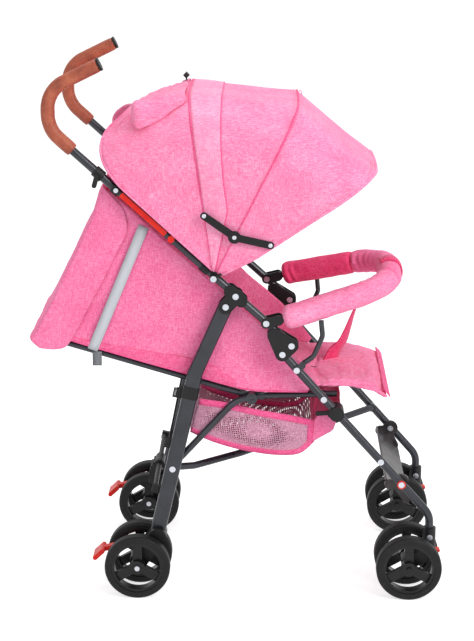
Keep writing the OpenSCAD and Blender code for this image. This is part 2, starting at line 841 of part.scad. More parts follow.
module rear_leg(s) {
  top_lean = atan2(leg_pivot.x - leg_knee.x, leg_pivot.y - leg_knee.y);
  color(painted) on_side(s) difference() {
    union() {
      leg_oval(-5, leg_low_len, 0);
      translate([leg_pivot.x, half_w, leg_pivot.y]) rotate([0, top_lean, 0])
        translate([0, 0, -leg_top - 8]) linear_extrude(height = leg_top + 8) oval(leg_w - 1.2, leg_t - 0.6);
      slab(leg_in, leg_t) disc_at(leg_pivot, leg_w - 4);
    }
    pin(leg_pivot, leg_in - 5, leg_in + leg_t + 5, rivet_d + 2 * run_fit);
    pin(brace_rivet, leg_in - 5, leg_in + leg_t + 5, rivet_d + 2 * run_fit);
  }
}

sleeve_t = 1.2;

module leg_sleeves() {
  color(black) both_sides() difference() {
    leg_oval(28, 52, 2 * sleeve_t);
    leg_oval(20, 60, 2 * run_fit);
  }
}

scissor_top = 50;
scissor_low = 154;
lock_down = 252;

// Flat bars that cross between the rear legs, and the lock bar that carries the foot pedal.
module rear_scissor() {
  span = 2 * (leg_in - 10);
  rise = scissor_low - scissor_top;
  color(black) on_leg() {
    for (k = [-1, 1]) translate([-21 + 2.2 * k, 0, -(scissor_top + scissor_low) / 2])
      rotate([k * atan2(rise, span), 0, 0]) cube([3, norm([span, rise]), 12], center = true);
    both_sides() for (b = [[scissor_top, sleeve_t + run_fit], [scissor_low, 0]])
      translate([-27, leg_in - 13, -b[0] - 9]) cube([19, 13 - b[1], 18]);
    translate([-24, leg_in, -lock_down]) rotate([90, 0, 0]) cylinder(h = 2 * leg_in, d = 10);
    both_sides() translate([-30, leg_in - 10, -lock_down - 8]) cube([26, 10, 16]);
  }
}

module lock_pedal() {
  color("#2A2A2E") on_leg() translate([-24, 0, -lock_down]) difference() {
    union() {
      translate([0, 22, 0]) rotate([90, 0, 0]) cylinder(h = 44, d = 20);
      translate([-13, -20, -46]) cube([9, 40, 46]);
      for (z = [8 : 7 : 40]) translate([-16, -20, -z - 3]) cube([4, 40, 3]);
    }
    translate([0, 30, 0]) rotate([90, 0, 0]) cylinder(h = 60, d = 10 + 2 * run_fit);
  }
}

pedal_pivot = [-14, wheel_r + 34];
house_t = 38;

module wheel_housings() {
  y0 = half_w - house_t / 2;
  color(black) both_sides() {
    difference() {
      union() {
        slab(y0, house_t) link(leg_foot - [0, 8], [0, wheel_r], 34);
        for (y = [y0, half_w + house_t / 2 - 4.5]) slab(y, 4.5) link([8, wheel_r + 22], pedal_pivot, 15);
      }
      pin([0, wheel_r], y0 - 1, y0 + house_t + 1, axle_d + 2 * run_fit);
      leg_oval(leg_low_len - 60, leg_low_len + run_fit, 2 * run_fit);
    }
    pin(pedal_pivot, y0 + 0.1, y0 + house_t - 0.1, rivet_d);
  }
}

axle_len = twin_gap + wheel_w + 6;

module rear_axles() {
  color(zinc) both_sides() pin([0, wheel_r], half_w - axle_len / 2, half_w + axle_len / 2, axle_d);
  color(zinc) both_sides() rivet(brace_rivet, brace_y - brace_d / 2 - 0.3, leg_in + leg_t);
}

module brake_pedal(s) {
  color("#D8161B") on_side(s) difference() {
    union() {
      slab(half_w - 14, 28) disc_at(pedal_pivot, 14);
      slab(half_w - 7, 14) link(pedal_pivot, [-66, wheel_r + 22], 9);
      slab(half_w - 20, 40) link([-70, wheel_r + 22], [-85, wheel_r + 8], 9);
    }
    pin(pedal_pivot, half_w - 20, half_w + 20, rivet_d + 2 * run_fit);
  }
}

// ---- casters and wheels ----

lever_pivot = [caster_x + 9, 84];

module fork(s) {
  axle = [wheelbase, wheel_r];
  color(black) on_side(s) {
    difference() {
      union() {
        translate([caster_x, half_w, 90]) cylinder(h = socket_low - 90.5, d = socket_d);
        slab(half_w - 18, 36) link([caster_x - 2, 84], axle, 26);
        slab(half_w - 13, 26) link([caster_x - 4, 84], lever_pivot, 16);
      }
      pin(axle, half_w - 20, half_w + 20, axle_d - 1);
      slab(half_w - 8, 16) union() {
        disc_at(lever_pivot, 17);
        translate(lever_pivot - [0, 8.5]) square([30, 17]);
      }
    }
    translate([caster_x, half_w, 95]) cylinder(h = stem_top - 95, d = stem_d);
    pin(lever_pivot, half_w - 12, half_w + 12, 4);
    pin(axle, half_w - axle_len / 2, half_w + axle_len / 2, axle_d);
  }
}

module swivel_lever(s) {
  color("#D8161B") on_side(s) slab(half_w - 7.5, 15) difference() {
    union() {
      disc_at(lever_pivot, 11);
      link(lever_pivot + [0, 3], lever_pivot + [10.5, 3], 5);
    }
    disc_at(lever_pivot, 4 + 2 * run_fit);
  }
}

module at_wheels(x, s) {
  on_side(s) for (k = [-1, 1])
    translate([x, half_w + k * twin_gap / 2, wheel_r]) rotate([90, 0, 0]) children();
}

module rims(x, s) {
  rim_r = wheel_r - tyre_t;
  color(black) at_wheels(x, s) difference() {
    union() {
      rotate_extrude($fn = 72) translate([rim_r - 6, -wheel_w / 2 + 2]) square([6, wheel_w - 4]);
      cylinder(h = wheel_w - 2, d = axle_d + 18, center = true);
      for (a = [90 : 120 : 330]) rotate([0, 0, a]) translate([axle_d / 2 + 5, -9, -5])
        cube([rim_r - axle_d / 2 - 8, 18, 10]);
    }
    cylinder(h = 2 * wheel_w, d = axle_d + 2 * run_fit, center = true);
  }
}

module tyres(x, s) {
  shoulder = 5;
  color("#26262A") at_wheels(x, s) rotate_extrude($fn = 72) {
    translate([wheel_r - tyre_t, -wheel_w / 2]) square([tyre_t - shoulder, wheel_w]);
    translate([wheel_r - shoulder - 1, -wheel_w / 2 + shoulder])
      square([shoulder + 1, wheel_w - 2 * shoulder]);
    for (k = [-1, 1]) translate([wheel_r - shoulder, k * (wheel_w / 2 - shoulder)]) circle(r = shoulder);
  }
}

origin() handle_tube(1);  // handle_tube_left
origin() handle_tube(-1);  // handle_tube_right
origin() front_tube(1);  // front_tube_left
origin() front_tube(-1);  // front_tube_right
origin() fold_plates();
origin() grip(1);  // grip_left
origin() grip(-1);  // grip_right
origin() grip_end_caps();
origin() leg_brackets();
origin() tube_clips();
origin() red_edge_strips();
origin() bumper_tube();
origin() bumper_pad();
origin() bumper_hoops();
origin() crotch_strap();
origin() corner_block();
origin() cross_tubes();
origin() frame_rivets();
origin() caster_sockets();
origin() rear_bow();
origin() canopy_rear_panel();
origin() rolled_flap();
origin() flap_toggle();
origin() basket();
origin() head_panel();
origin() side_panels();
origin() recline_straps();
origin() main_bow();
origin() canopy_main_panel();
origin() front_bow();
origin() canopy_front_panel();
origin() stay_rear_arms();
origin() stay_front_arms();
origin() seat_tubes();
origin() seat_pad();
origin() back_frame();
origin() back_pad();
origin() seat_braces();
origin() rear_leg(1);  // rear_leg_left
origin() rear_leg(-1);  // rear_leg_right
origin() leg_sleeves();
origin() rear_scissor();
origin() wheel_housings();
origin() rear_axles();
origin() lock_pedal();
origin() brake_pedal(1);  // brake_pedal_left
origin() brake_pedal(-1);  // brake_pedal_right
origin() footrest();
origin() fork(1);  // fork_left
origin() fork(-1);  // fork_right
origin() swivel_lever(1);  // swivel_lever_left
origin() swivel_lever(-1);  // swivel_lever_right
origin() rims(0, 1);  // rims_rear_left
origin() rims(0, -1);  // rims_rear_right
origin() rims(wheelbase, 1);  // rims_front_left
origin() rims(wheelbase, -1);  // rims_front_right
origin() tyres(0, 1);  // tyres_rear_left
origin() tyres(0, -1);  // tyres_rear_right
origin() tyres(wheelbase, 1);  // tyres_front_left
origin() tyres(wheelbase, -1);  // tyres_front_right
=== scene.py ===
"""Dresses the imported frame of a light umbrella-fold baby stroller.

The CAD frame gives every tube, rivet, moulding and wheel. This script gives them their finishes and builds
the sewn parts: canopy, head end, side cloths, seat, bumper padding, basket, straps and hand grips.
Lengths in dataclass fields are millimetres, counted along X from the rear axle, along Y from the middle
plane and along Z from the ground; meshes are made in metres.
"""

from __future__ import annotations

import json
import logging
import math
from dataclasses import dataclass, field
from enum import Enum
from typing import Callable, Sequence

import bmesh
import bpy
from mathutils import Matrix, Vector, noise

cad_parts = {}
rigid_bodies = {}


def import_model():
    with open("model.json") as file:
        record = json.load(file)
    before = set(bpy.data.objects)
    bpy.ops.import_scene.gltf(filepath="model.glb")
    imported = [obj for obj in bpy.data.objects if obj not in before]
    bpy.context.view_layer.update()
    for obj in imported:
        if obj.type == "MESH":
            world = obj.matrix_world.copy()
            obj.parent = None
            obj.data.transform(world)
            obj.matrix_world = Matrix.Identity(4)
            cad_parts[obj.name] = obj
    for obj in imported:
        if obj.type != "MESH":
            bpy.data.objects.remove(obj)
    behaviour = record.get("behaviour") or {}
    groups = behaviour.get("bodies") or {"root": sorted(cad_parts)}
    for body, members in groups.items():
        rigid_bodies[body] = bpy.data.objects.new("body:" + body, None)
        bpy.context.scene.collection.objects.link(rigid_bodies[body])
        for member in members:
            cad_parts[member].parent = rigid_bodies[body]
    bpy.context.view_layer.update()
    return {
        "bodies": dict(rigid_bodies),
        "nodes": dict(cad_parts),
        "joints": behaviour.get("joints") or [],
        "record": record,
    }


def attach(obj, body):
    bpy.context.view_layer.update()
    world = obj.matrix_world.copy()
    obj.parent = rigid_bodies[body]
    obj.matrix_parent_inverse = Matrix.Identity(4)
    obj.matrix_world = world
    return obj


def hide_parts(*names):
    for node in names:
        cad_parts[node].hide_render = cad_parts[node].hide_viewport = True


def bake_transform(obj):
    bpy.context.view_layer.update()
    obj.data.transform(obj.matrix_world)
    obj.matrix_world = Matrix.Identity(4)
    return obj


LOG = logging.getLogger("stroller")
REAR_AXLE_X = -190.8
MM = 0.001
Point2 = tuple[float, float]
Thing = bpy.types.Object


class Side(Enum):
    """The stroller's left and right, as the sign of Y."""

    LEFT = 1
    RIGHT = -1


# ---- places and small mesh tools ----


def place(x: float, y: float, z: float) -> Vector:
    """Turns millimetres from the rear axle into metres in the row frame.

    Args:
        x: forwards from the rear axle.
        y: to the stroller's left.
        z: up from the ground.

    Returns:
        The point in the row frame.
    """
    return Vector(((x + REAR_AXLE_X) * MM, y * MM, z * MM))


def smooth_curve(points: Sequence[Sequence[float]], steps: int, closed: bool = False) -> list[list[float]]:
    """Runs a smooth curve through the points.

    Args:
        points: the points, of any dimension.
        steps: how many pieces each stretch is cut into.
        closed: whether the last point joins the first.

    Returns:
        The denser list of points.
    """
    count = len(points)
    spans = count if closed else count - 1
    out: list[list[float]] = []
    for i in range(spans):
        if closed:
            a, b, c, d = (points[(i + k - 1) % count] for k in range(4))
        else:
            a, b, c, d = (points[min(max(i + k - 1, 0), count - 1)] for k in range(4))
        for s in range(steps):
            t = s / steps
            row = []
            for p, q, r, w in zip(a, b, c, d):
                row.append(
                    0.5
                    * (
                        2 * q
                        + (r - p) * t
                        + (2 * p - 5 * q + 4 * r - w) * t * t
                        + (3 * q - p - 3 * r + w) * t**3
                    )
                )
            out.append(row)
    if not closed:
        out.append(list(points[-1]))
    return out


def resample(points: Sequence[Sequence[float]], count: int) -> list[Point2]:
    """Spreads a number of points evenly along a line drawn from the side.

    Args:
        points: the line.
        count: how many points it gets.

    Returns:
        The points.
    """
    run = [0.0]
    for a, b in zip(points, points[1:]):
        run.append(run[-1] + math.hypot(b[0] - a[0], b[1] - a[1]))
    out: list[Point2] = []
    k = 1
    for i in range(count):
        s = run[-1] * i / (count - 1)
        while k < len(run) - 1 and run[k] < s:
            k += 1
        f = (s - run[k - 1]) / max(run[k] - run[k - 1], 1e-9)
        a, b = points[k - 1], points[k]
        out.append(between(a, b, f))
    return out


def rounded(points: Sequence[Point2], radius: float, step: float) -> list[Point2]:
    """Rounds the corners of a line and spreads points along it.

    Args:
        points: the line's corners.
        radius: of each bend, smaller where a stretch is short.
        step: about how far apart the points lie.

    Returns:
        The points.
    """
    line: list[Point2] = [points[0]]
    for a, b, c in zip(points, points[1:], points[2:]):
        middle = Vector(b)
        back, ahead = Vector(a) - middle, Vector(c) - middle
        half = back.angle(ahead) / 2
        cut = min(radius / math.tan(half), 0.49 * back.length, 0.49 * ahead.length)
        back.normalize()
        ahead.normalize()
        bend = cut * math.tan(half)
        centre = middle + (back + ahead).normalized() * bend / math.sin(half)
        start = (middle + back * cut - centre).normalized()
        end = (middle + ahead * cut - centre).normalized()
        for k in range(13):
            way = start.slerp(end, k / 12) * bend
            line.append((centre.x + way.x, centre.y + way.y))
    line.append(points[-1])
    length = sum(math.hypot(b[0] - a[0], b[1] - a[1]) for a, b in zip(line, line[1:]))
    return resample(line, max(2, round(length / step) + 1))


def between(a: Point2, b: Point2, t: float) -> Point2:
    """The point at a share t of the way from a to b, both drawn from the side."""
    return a[0] + (b[0] - a[0]) * t, a[1] + (b[1] - a[1]) * t


def heading(path: Sequence[Vector], i: int) -> Vector:
    """The direction in which a path runs at its point i."""
    return (path[min(i + 1, len(path) - 1)] - path[max(i - 1, 0)]).normalized()


def square_to(line: Sequence[Point2], i: int) -> Point2:
    """The direction square to a line drawn from the side, at one of its points.

    Args:
        line: the line.
        i: which point.

    Returns:
        X and Z of the direction, of length 1.
    """
    (xa, za), (xb, zb) = line[max(i - 1, 0)], line[min(i + 1, len(line) - 1)]
    length = math.hypot(xb - xa, zb - za)
    return -(zb - za) / length, (xb - xa) / length


def lift(path: Sequence[Vector], normals: Sequence[Vector], height: float) -> list[Vector]:
    """Moves a path out along its normals by a height in millimetres."""
    return [p + n * height * MM for p, n in zip(path, normals)]


def new_object(name: str, verts: Sequence[Vector], faces: Sequence[Sequence[int]]) -> Thing:
    """Makes a smooth-shaded mesh object.

    Args:
        name: the piece's name.
        verts: its points in metres.
        faces: its faces as lists of point numbers.

    Returns:
        The object, linked to the scene.
    """
    mesh = bpy.data.meshes.new(name)
    mesh.from_pydata([tuple(v) for v in verts], [], [tuple(f) for f in faces])
    mesh.validate()
    bm = bmesh.new()
    bm.from_mesh(mesh)
    bmesh.ops.recalc_face_normals(bm, faces=bm.faces)
    bm.to_mesh(mesh)
    bm.free()
    for poly in mesh.polygons:
        poly.use_smooth = True
    obj = bpy.data.objects.new(name, mesh)
    bpy.context.scene.collection.objects.link(obj)
    return obj


def grid_object(
    name: str,
    rows: Sequence[Sequence[Vector]],
    wrap_rows: bool = False,
    wrap_cols: bool = False,
    caps: bool = False,
) -> Thing:
    """Skins a grid of points.

    Args:
        name: the piece's name.
        rows: rows of points, all of one length.
        wrap_rows: whether the last row joins the first.
        wrap_cols: whether each row closes on itself.
        caps: whether the first and last rows are closed with a fan.

    Returns:
        The object.
    """
    width = len(rows[0])
    verts = [p for row in rows for p in row]
    faces: list[list[int]] = []
    for i in range(len(rows) if wrap_rows else len(rows) - 1):
        j = (i + 1) % len(rows)
        for k in range(width if wrap_cols else width - 1):
            m = (k + 1) % width
            faces.append([i * width + k, i * width + m, j * width + m, j * width + k])
    if caps:
        for start in (0, (len(rows) - 1) * width):
            middle = sum((verts[start + k] for k in range(width)), Vector()) / width
            verts.append(middle)
            faces.extend([start + k, start + (k + 1) % width, len(verts) - 1] for k in range(width))
    return new_object(name, verts, faces)


def apply_modifier(obj: Thing, kind: str, **settings: object) -> None:
    """Adds a modifier and applies it at once.

    Args:
        obj: the object to change.
        kind: the modifier's type.
        settings: its properties.
    """
    modifier = obj.modifiers.new(kind.lower(), kind)
    for key, value in settings.items():
        setattr(modifier, key, value)
    depsgraph = bpy.context.evaluated_depsgraph_get()
    mesh = bpy.data.meshes.new_from_object(obj.evaluated_get(depsgraph))
    obj.modifiers.clear()
    old = obj.data
    obj.data = mesh
    bpy.data.meshes.remove(old)
    for poly in obj.data.polygons:
        poly.use_smooth = True


def thicken(obj: Thing, thickness: float) -> None:
    """Gives an open sheet its thickness, to both sides.

    Args:
        obj: the sheet.
        thickness: in millimetres.
    """
    apply_modifier(obj, "SOLIDIFY", thickness=thickness * MM, offset=0.0, use_even_offset=False)


def subdivide(obj: Thing, levels: int = 1) -> None:
    """Rounds a mesh with subdivision.

    Args:
        obj: the mesh.
        levels: how many times.
    """
    apply_modifier(obj, "SUBSURF", levels=levels, render_levels=levels)


def ruffle(obj: Thing, depth: float, size: Sequence[float], seed: float, sharp: float = 0.0) -> None:
    """Moves each point along its normal by soft noise, as handled cloth does.

    Args:
        obj: the mesh.
        depth: the largest move, in millimetres.
        size: the length of a ripple along X, Y and Z, in millimetres.
        seed: shifts the pattern.
        sharp: from 0, round ripples, to 1, ridged creases.
    """
    normals = [v.normal.copy() for v in obj.data.vertices]
    for v, n in zip(obj.data.vertices, normals):
        p = Vector((v.co.x / (size[0] * MM) + seed, v.co.y / (size[1] * MM) - seed, v.co.z / (size[2] * MM)))
        soft = noise.noise(p)
        ridge = 1.0 - 2.0 * abs(noise.noise(p * 1.3 + Vector((7.1, 3.3, 1.7))))
        v.co += n * depth * MM * ((1 - sharp) * soft + sharp * (ridge - 0.5))


def crease(obj: Thing, depth: float, gap: float, slant: float, seed: float) -> None:
    """Draws long slanting folds across a hanging cloth, moving it sideways.

    Args:
        obj: the cloth, which hangs across Y.
        depth: of a fold, in millimetres.
        gap: from one fold to the next, in millimetres.
        slant: of the folds above level, in degrees.
        seed: shifts the pattern.
    """
    a = math.radians(slant)
    for v in obj.data.vertices:
        x, z = v.co.x / MM, v.co.z / MM
        along, across = x * math.cos(a) + z * math.sin(a), z * math.cos(a) - x * math.sin(a)
        wave = math.sin(across / gap * math.pi + 1.6 * math.sin(along / 90 + seed))
        ease = 0.5 + 0.5 * noise.noise(Vector((along / 120, across / 60, seed)))
        v.co.y += depth * MM * ease * (abs(wave) ** 1.6) * math.copysign(1.0, v.co.y)


def tube(
    name: str,
    path: Sequence[Vector],
    radius: float | Sequence[float],
    sides: int = 16,
    closed: bool = False,
) -> Thing:
    """Sweeps a round section along a path without twist.

    Args:
        name: the piece's name.
        path: points in metres.
        radius: in millimetres, one or one for each point.
        sides: faces round the section.
        closed: whether the path is a loop.

    Returns:
        The object.
    """
    count = len(path)
    radii = [radius] * count if isinstance(radius, (int, float)) else list(radius)
    tangents = []
    for i in range(count):
        if closed:
            t = path[(i + 1) % count] - path[i - 1]
        else:
            t = path[min(i + 1, count - 1)] - path[max(i - 1, 0)]
        tangents.append(t.normalized())
    normal = tangents[0].orthogonal().normalized()
    rows = []
    for i in range(count):
        normal = (normal - tangents[i] * normal.dot(tangents[i])).normalized()
        other = tangents[i].cross(normal)
        rows.append(
            [
                path[i] + (normal * math.cos(a) + other * math.sin(a)) * radii[i] * MM
                for a in (2 * math.pi * k / sides for k in range(sides))
            ]
        )
    return grid_object(name, rows, wrap_rows=closed, wrap_cols=True, caps=not closed)


def tape(
    name: str,
    path: Sequence[Vector],
    across: Sequence[Vector],
    width: float,
    thickness: float,
    crown: float = 0.0,
) -> Thing:
    """Makes a flat tape or binding that follows a path.

    Args:
        name: the piece's name.
        path: its middle line in metres.
        across: for each point, the direction of its width.
        width: in millimetres.
        thickness: in millimetres.
        crown: how far its middle stands proud of its edges, in millimetres.

    Returns:
        The object.
    """
    rows = []
    for i, (p, w) in enumerate(zip(path, across)):
        t = heading(path, i)
        side = (w - t * w.dot(t)).normalized()
        up = side.cross(t)
        half = width / 2
        section = [
            (-half, -thickness / 2),
            (-half * 0.96, thickness / 2),
            (0.0, thickness / 2 + crown),
            (half * 0.96, thickness / 2),
            (half, -thickness / 2),
            (0.0, -thickness / 2 + crown * 0.5),
        ]
        rows.append([p + side * a * MM + up * b * MM for a, b in section])
    return grid_object(name, rows, wrap_cols=True, caps=True)


def stitches(
    name: str,
    path: Sequence[Vector],
    normals: Sequence[Vector],
    pitch: float = 5.0,
    length: float = 3.4,
    height: float = 0.35,
) -> Thing:
    """Lays a row of separate thread stitches along a path.

    Args:
        name: the piece's name.
        path: the seam line in metres, closely spaced.
        normals: for each point, the way out of the cloth.
        pitch: from one stitch to the next, in millimetres.
        length: of the thread that shows, in millimetres.
        height: how far the thread stands out, in millimetres.

    Returns:
        All the stitches as one object.
    """
    run = [0.0]
    for a, b in zip(path, path[1:]):
        run.append(run[-1] + (b - a).length / MM)

    def at(s: float) -> tuple[Vector, Vector]:
        """Finds a place on the seam.

        Args:
            s: distance along the seam, in millimetres.

        Returns:
            The point and the way out there.
        """
        i = min(max(next((k for k, r in enumerate(run) if r >= s), len(run) - 1), 1), len(run) - 1)
        f = (s - run[i - 1]) / max(run[i] - run[i - 1], 1e-6)
        return path[i - 1].lerp(path[i], f), normals[i - 1].lerp(normals[i], f).normalized()

    verts: list[Vector] = []
    faces: list[list[int]] = []
    s = pitch / 2
    while s + length < run[-1]:
        (a, na), (b, _) = at(s), at(s + length)
        along = (b - a).normalized()
        side = na.cross(along)
        base = len(verts)
        for f, rise, half in ((0.0, 0.0, 0.25), (0.25, 1.0, 0.5), (0.75, 1.0, 0.5), (1.0, 0.0, 0.25)):
            middle = a.lerp(b, f) + na * rise * height * MM
            for c in range(4):
                angle = math.pi / 4 + c * math.pi / 2
                verts.append(middle + (side * math.cos(angle) + na * math.sin(angle)) * half * MM)
        for r in range(3):
            for c in range(4):
                d = (c + 1) % 4
                here, ahead = base + r * 4, base + r * 4 + 4
                faces.append([here + c, here + d, ahead + d, ahead + c])
        s += pitch
    return new_object(name, verts, faces)


def cloth_sheet(
    rows: Sequence[Sequence[Vector]], name: str, levels: int = 1, thickness: float = 1.6
) -> Thing:
    """Makes a sheet of cloth from a grid of points.

    Args:
        rows: the grid in metres.
        name: the piece's name.
        levels: rounds of subdivision.
        thickness: in millimetres.

    Returns:
        The sheet, with its thickness.
    """
    obj = grid_object(name, rows)
    subdivide(obj, levels)
    thicken(obj, thickness)
    return obj


def pressed(obj: Thing, voxel: float, cap: float, pressure: float = 4.0, frames: int = 20) -> Thing:
    """Blows a closed form up as stuffing does, with a cloth simulation, and rounds it.

    Args:
        obj: a closed mesh, slightly smaller than the finished pad.
        voxel: the remesh size, in millimetres.
        cap: the farthest a point may move, in millimetres.
        pressure: the air pressure inside.
        frames: how many steps it runs.

    Returns:
        The same object with its new mesh.
    """
    apply_modifier(obj, "REMESH", mode="VOXEL", voxel_size=voxel * MM, use_smooth_shade=True)
    rest = [v.co.copy() for v in obj.data.vertices]
    scene = bpy.context.scene
    scene.frame_set(1)
    modifier = obj.modifiers.new("cloth", "CLOTH")
    modifier.settings.use_pressure = True
    modifier.settings.uniform_pressure_force = pressure
    modifier.settings.effector_weights.gravity = 0.0
    modifier.settings.quality = 6
    modifier.point_cache.frame_start = 1
    modifier.point_cache.frame_end = frames
    for frame in range(1, frames + 1):
        scene.frame_set(frame)
    depsgraph = bpy.context.evaluated_depsgraph_get()
    mesh = bpy.data.meshes.new_from_object(obj.evaluated_get(depsgraph))
    obj.modifiers.clear()
    obj.data = mesh
    scene.frame_set(1)
    for v, r in zip(mesh.vertices, rest):
        move = v.co - r
        far = cap * MM
        if move.length > far:
            v.co = r + move.normalized() * far
    subdivide(obj, 1)
    return obj


# ---- colours and nodes ----


def linear(code: str) -> tuple[float, float, float, float]:
    """Turns an sRGB hex colour into linear red, green, blue and alpha.

    Args:
        code: such as "#F77FB0".

    Returns:
        Four numbers from 0 to 1.
    """
    parts = [int(code[i : i + 2], 16) / 255 for i in (1, 3, 5)]
    red, green, blue = (c / 12.92 if c <= 0.04045 else ((c + 0.055) / 1.055) ** 2.4 for c in parts)
    return red, green, blue, 1.0


def add_node(
    tree: bpy.types.NodeTree, kind: str, inputs: dict[object, object] | None = None, **settings: object
) -> bpy.types.Node:
    """Adds a node, sets its properties, and fills or links its inputs.

    Args:
        tree: the node tree.
        kind: the node's type.
        inputs: by name or number, a plain value or another node's output socket.
        settings: the node's own properties.

    Returns:
        The node.
    """
    node = tree.nodes.new(kind)
    for key, value in settings.items():
        setattr(node, key, value)
    for key, value in (inputs or {}).items():
        if isinstance(value, bpy.types.NodeSocket):
            tree.links.new(value, node.inputs[key])
        else:
            node.inputs[key].default_value = value
    return node


def blank_material(name: str) -> tuple[bpy.types.Material, bpy.types.NodeTree]:
    """Makes a material with an empty node tree.

    Args:
        name: the material's name.

    Returns:
        The material and its tree.
    """
    material = bpy.data.materials.new(name)
    material.use_nodes = True
    material.node_tree.nodes.clear()
    return material, material.node_tree


def stretched_noise(
    tree: bpy.types.NodeTree,
    spacing: Sequence[float],
    detail: float = 2.0,
    turn: Sequence[float] = (0.0, 0.0, 0.0),
) -> bpy.types.NodeSocket:
    """Noise whose grain has its own length along each axis.

    Args:
        tree: the node tree.
        spacing: grain length along X, Y and Z in millimetres.
        detail: how many finer octaves it has.
        turn: rotation of the axes in degrees.

    Returns:
        The noise's value output.
    """
    where = add_node(tree, "ShaderNodeTexCoord")
    mapping = add_node(
        tree,
        "ShaderNodeMapping",
        {
            "Vector": where.outputs["Object"],
            "Rotation": [math.radians(a) for a in turn],
            "Scale": [1.0 / (s * MM) for s in spacing],
        },
    )
    pattern = add_node(
        tree,
        "ShaderNodeTexNoise",
        {"Vector": mapping.outputs["Vector"], "Scale": 1.0, "Detail": detail, "Roughness": 0.55},
    )
    return pattern.outputs["Fac"]


def ramp(
    tree: bpy.types.NodeTree, value: bpy.types.NodeSocket, stops: Sequence[tuple[float, str]]
) -> bpy.types.NodeSocket:
    """Turns a value into colours.

    Args:
        tree: the node tree.
        value: the socket that drives it.
        stops: positions and hex colours, from low to high.

    Returns:
        The colour output.
    """
    node = add_node(tree, "ShaderNodeValToRGB", {"Fac": value})
    elements = node.color_ramp.elements
    while len(elements) < len(stops):
        elements.new(0.5)
    for element, (position, code) in zip(elements, stops):
        element.position = position
        element.color = linear(code)
    return node.outputs["Color"]


@dataclass(frozen=True)
class HeatherCloth:
    """Solution-dyed polyester canvas, woven from heather yarn.

    Light and dark slubs run along warp and weft; a soft fuzz brightens the edges where the cloth turns away.
    The real yarn is 0.4 mm, too fine to show, so the slubs are drawn at the width given here.
    """

    name: str = "heather_polyester"
    light: str = "#FF9AC4"
    middle: str = "#FC7FAF"
    dark: str = "#F26899"
    slub_mm: float = 1.5
    slub_length_mm: float = 9.0
    bump_mm: float = 0.35

    def build(self) -> bpy.types.Material:
        """Builds the woven material.

        Returns:
            The material.
        """
        material, tree = blank_material(self.name)
        weft = stretched_noise(tree, (self.slub_length_mm, self.slub_length_mm, self.slub_mm))
        warp = stretched_noise(tree, (self.slub_mm, self.slub_mm, self.slub_length_mm), turn=(0, 4, 0))
        blotch = stretched_noise(tree, (60.0, 60.0, 60.0), detail=1.0)
        mixed = add_node(tree, "ShaderNodeMath", {0: weft, 1: warp}, operation="ADD")
        shifted = add_node(
            tree, "ShaderNodeMath", {0: blotch, 1: 0.35, 2: mixed.outputs[0]}, operation="MULTIPLY_ADD"
        )
        level = add_node(tree, "ShaderNodeMath", {0: shifted.outputs[0], 1: 2.35}, operation="DIVIDE")
        colour = ramp(tree, level.outputs[0], ((0.38, self.dark), (0.5, self.middle), (0.62, self.light)))
        fine = stretched_noise(tree, (1.2, 1.2, 1.2), detail=3.0)
        height = add_node(tree, "ShaderNodeMath", {0: mixed.outputs[0], 1: fine}, operation="ADD")
        bump = add_node(
            tree,
            "ShaderNodeBump",
            {"Height": height.outputs[0], "Strength": 0.5, "Distance": self.bump_mm * MM},
        )
        shader = add_node(
            tree,
            "ShaderNodeBsdfPrincipled",
            {
                "Base Color": colour,
                "Normal": bump.outputs["Normal"],
                "Roughness": 0.82,
                "Sheen Weight": 0.22,
                "Sheen Roughness": 0.45,
                "Sheen Tint": linear("#FFD9E8"),
                "Specular IOR Level": 0.25,
            },
        )
        add_node(tree, "ShaderNodeOutputMaterial", {"Surface": shader.outputs["BSDF"]})
        return material


@dataclass(frozen=True)
class MeshCloth:
    """Warp-knitted polyester mesh: rows of small hexagonal eyes that let what is behind show through."""

    name: str = "knitted_mesh"
    yarn: str = "#D99DB4"
    eye_mm: float = 4.2
    eye_depth_mm: float = 0.6
    solid: float = 0.62

    def build(self) -> bpy.types.Material:
        """Builds the mesh material with see-through eyes.

        Returns:
            The material.
        """
        material, tree = blank_material(self.name)
        where = add_node(tree, "ShaderNodeTexCoord")
        mapping = add_node(
            tree,
            "ShaderNodeMapping",
            {
                "Vector": where.outputs["Object"],
                "Rotation": (0.0, math.radians(8), 0.0),
                "Scale": [1.0 / (self.eye_mm * MM)] * 3,
            },
        )
        eyes = add_node(
            tree,
            "ShaderNodeTexVoronoi",
            {"Vector": mapping.outputs["Vector"], "Scale": 1.0, "Randomness": 0.12},
        )
        hole = add_node(
            tree, "ShaderNodeMath", {0: eyes.outputs["Distance"], 1: 1.0 - self.solid}, operation="LESS_THAN"
        )
        shade = stretched_noise(tree, (3.0, 3.0, 3.0))
        colour = ramp(tree, shade, ((0.35, "#B97C96"), (0.6, self.yarn), (0.75, "#EDC3D2")))
        bump = add_node(
            tree,
            "ShaderNodeBump",
            {"Height": eyes.outputs["Distance"], "Strength": 0.6, "Distance": self.eye_depth_mm * MM},
        )
        shader = add_node(
            tree,
            "ShaderNodeBsdfPrincipled",
            {
                "Base Color": colour,
                "Normal": bump.outputs["Normal"],
                "Roughness": 0.6,
                "Specular IOR Level": 0.3,
            },
        )
        clear = add_node(tree, "ShaderNodeBsdfTransparent")
        mix = {"Fac": hole.outputs[0], 1: shader.outputs["BSDF"], 2: clear.outputs["BSDF"]}
        both = add_node(tree, "ShaderNodeMixShader", mix)
        add_node(tree, "ShaderNodeOutputMaterial", {"Surface": both.outputs["Shader"]})
        return material


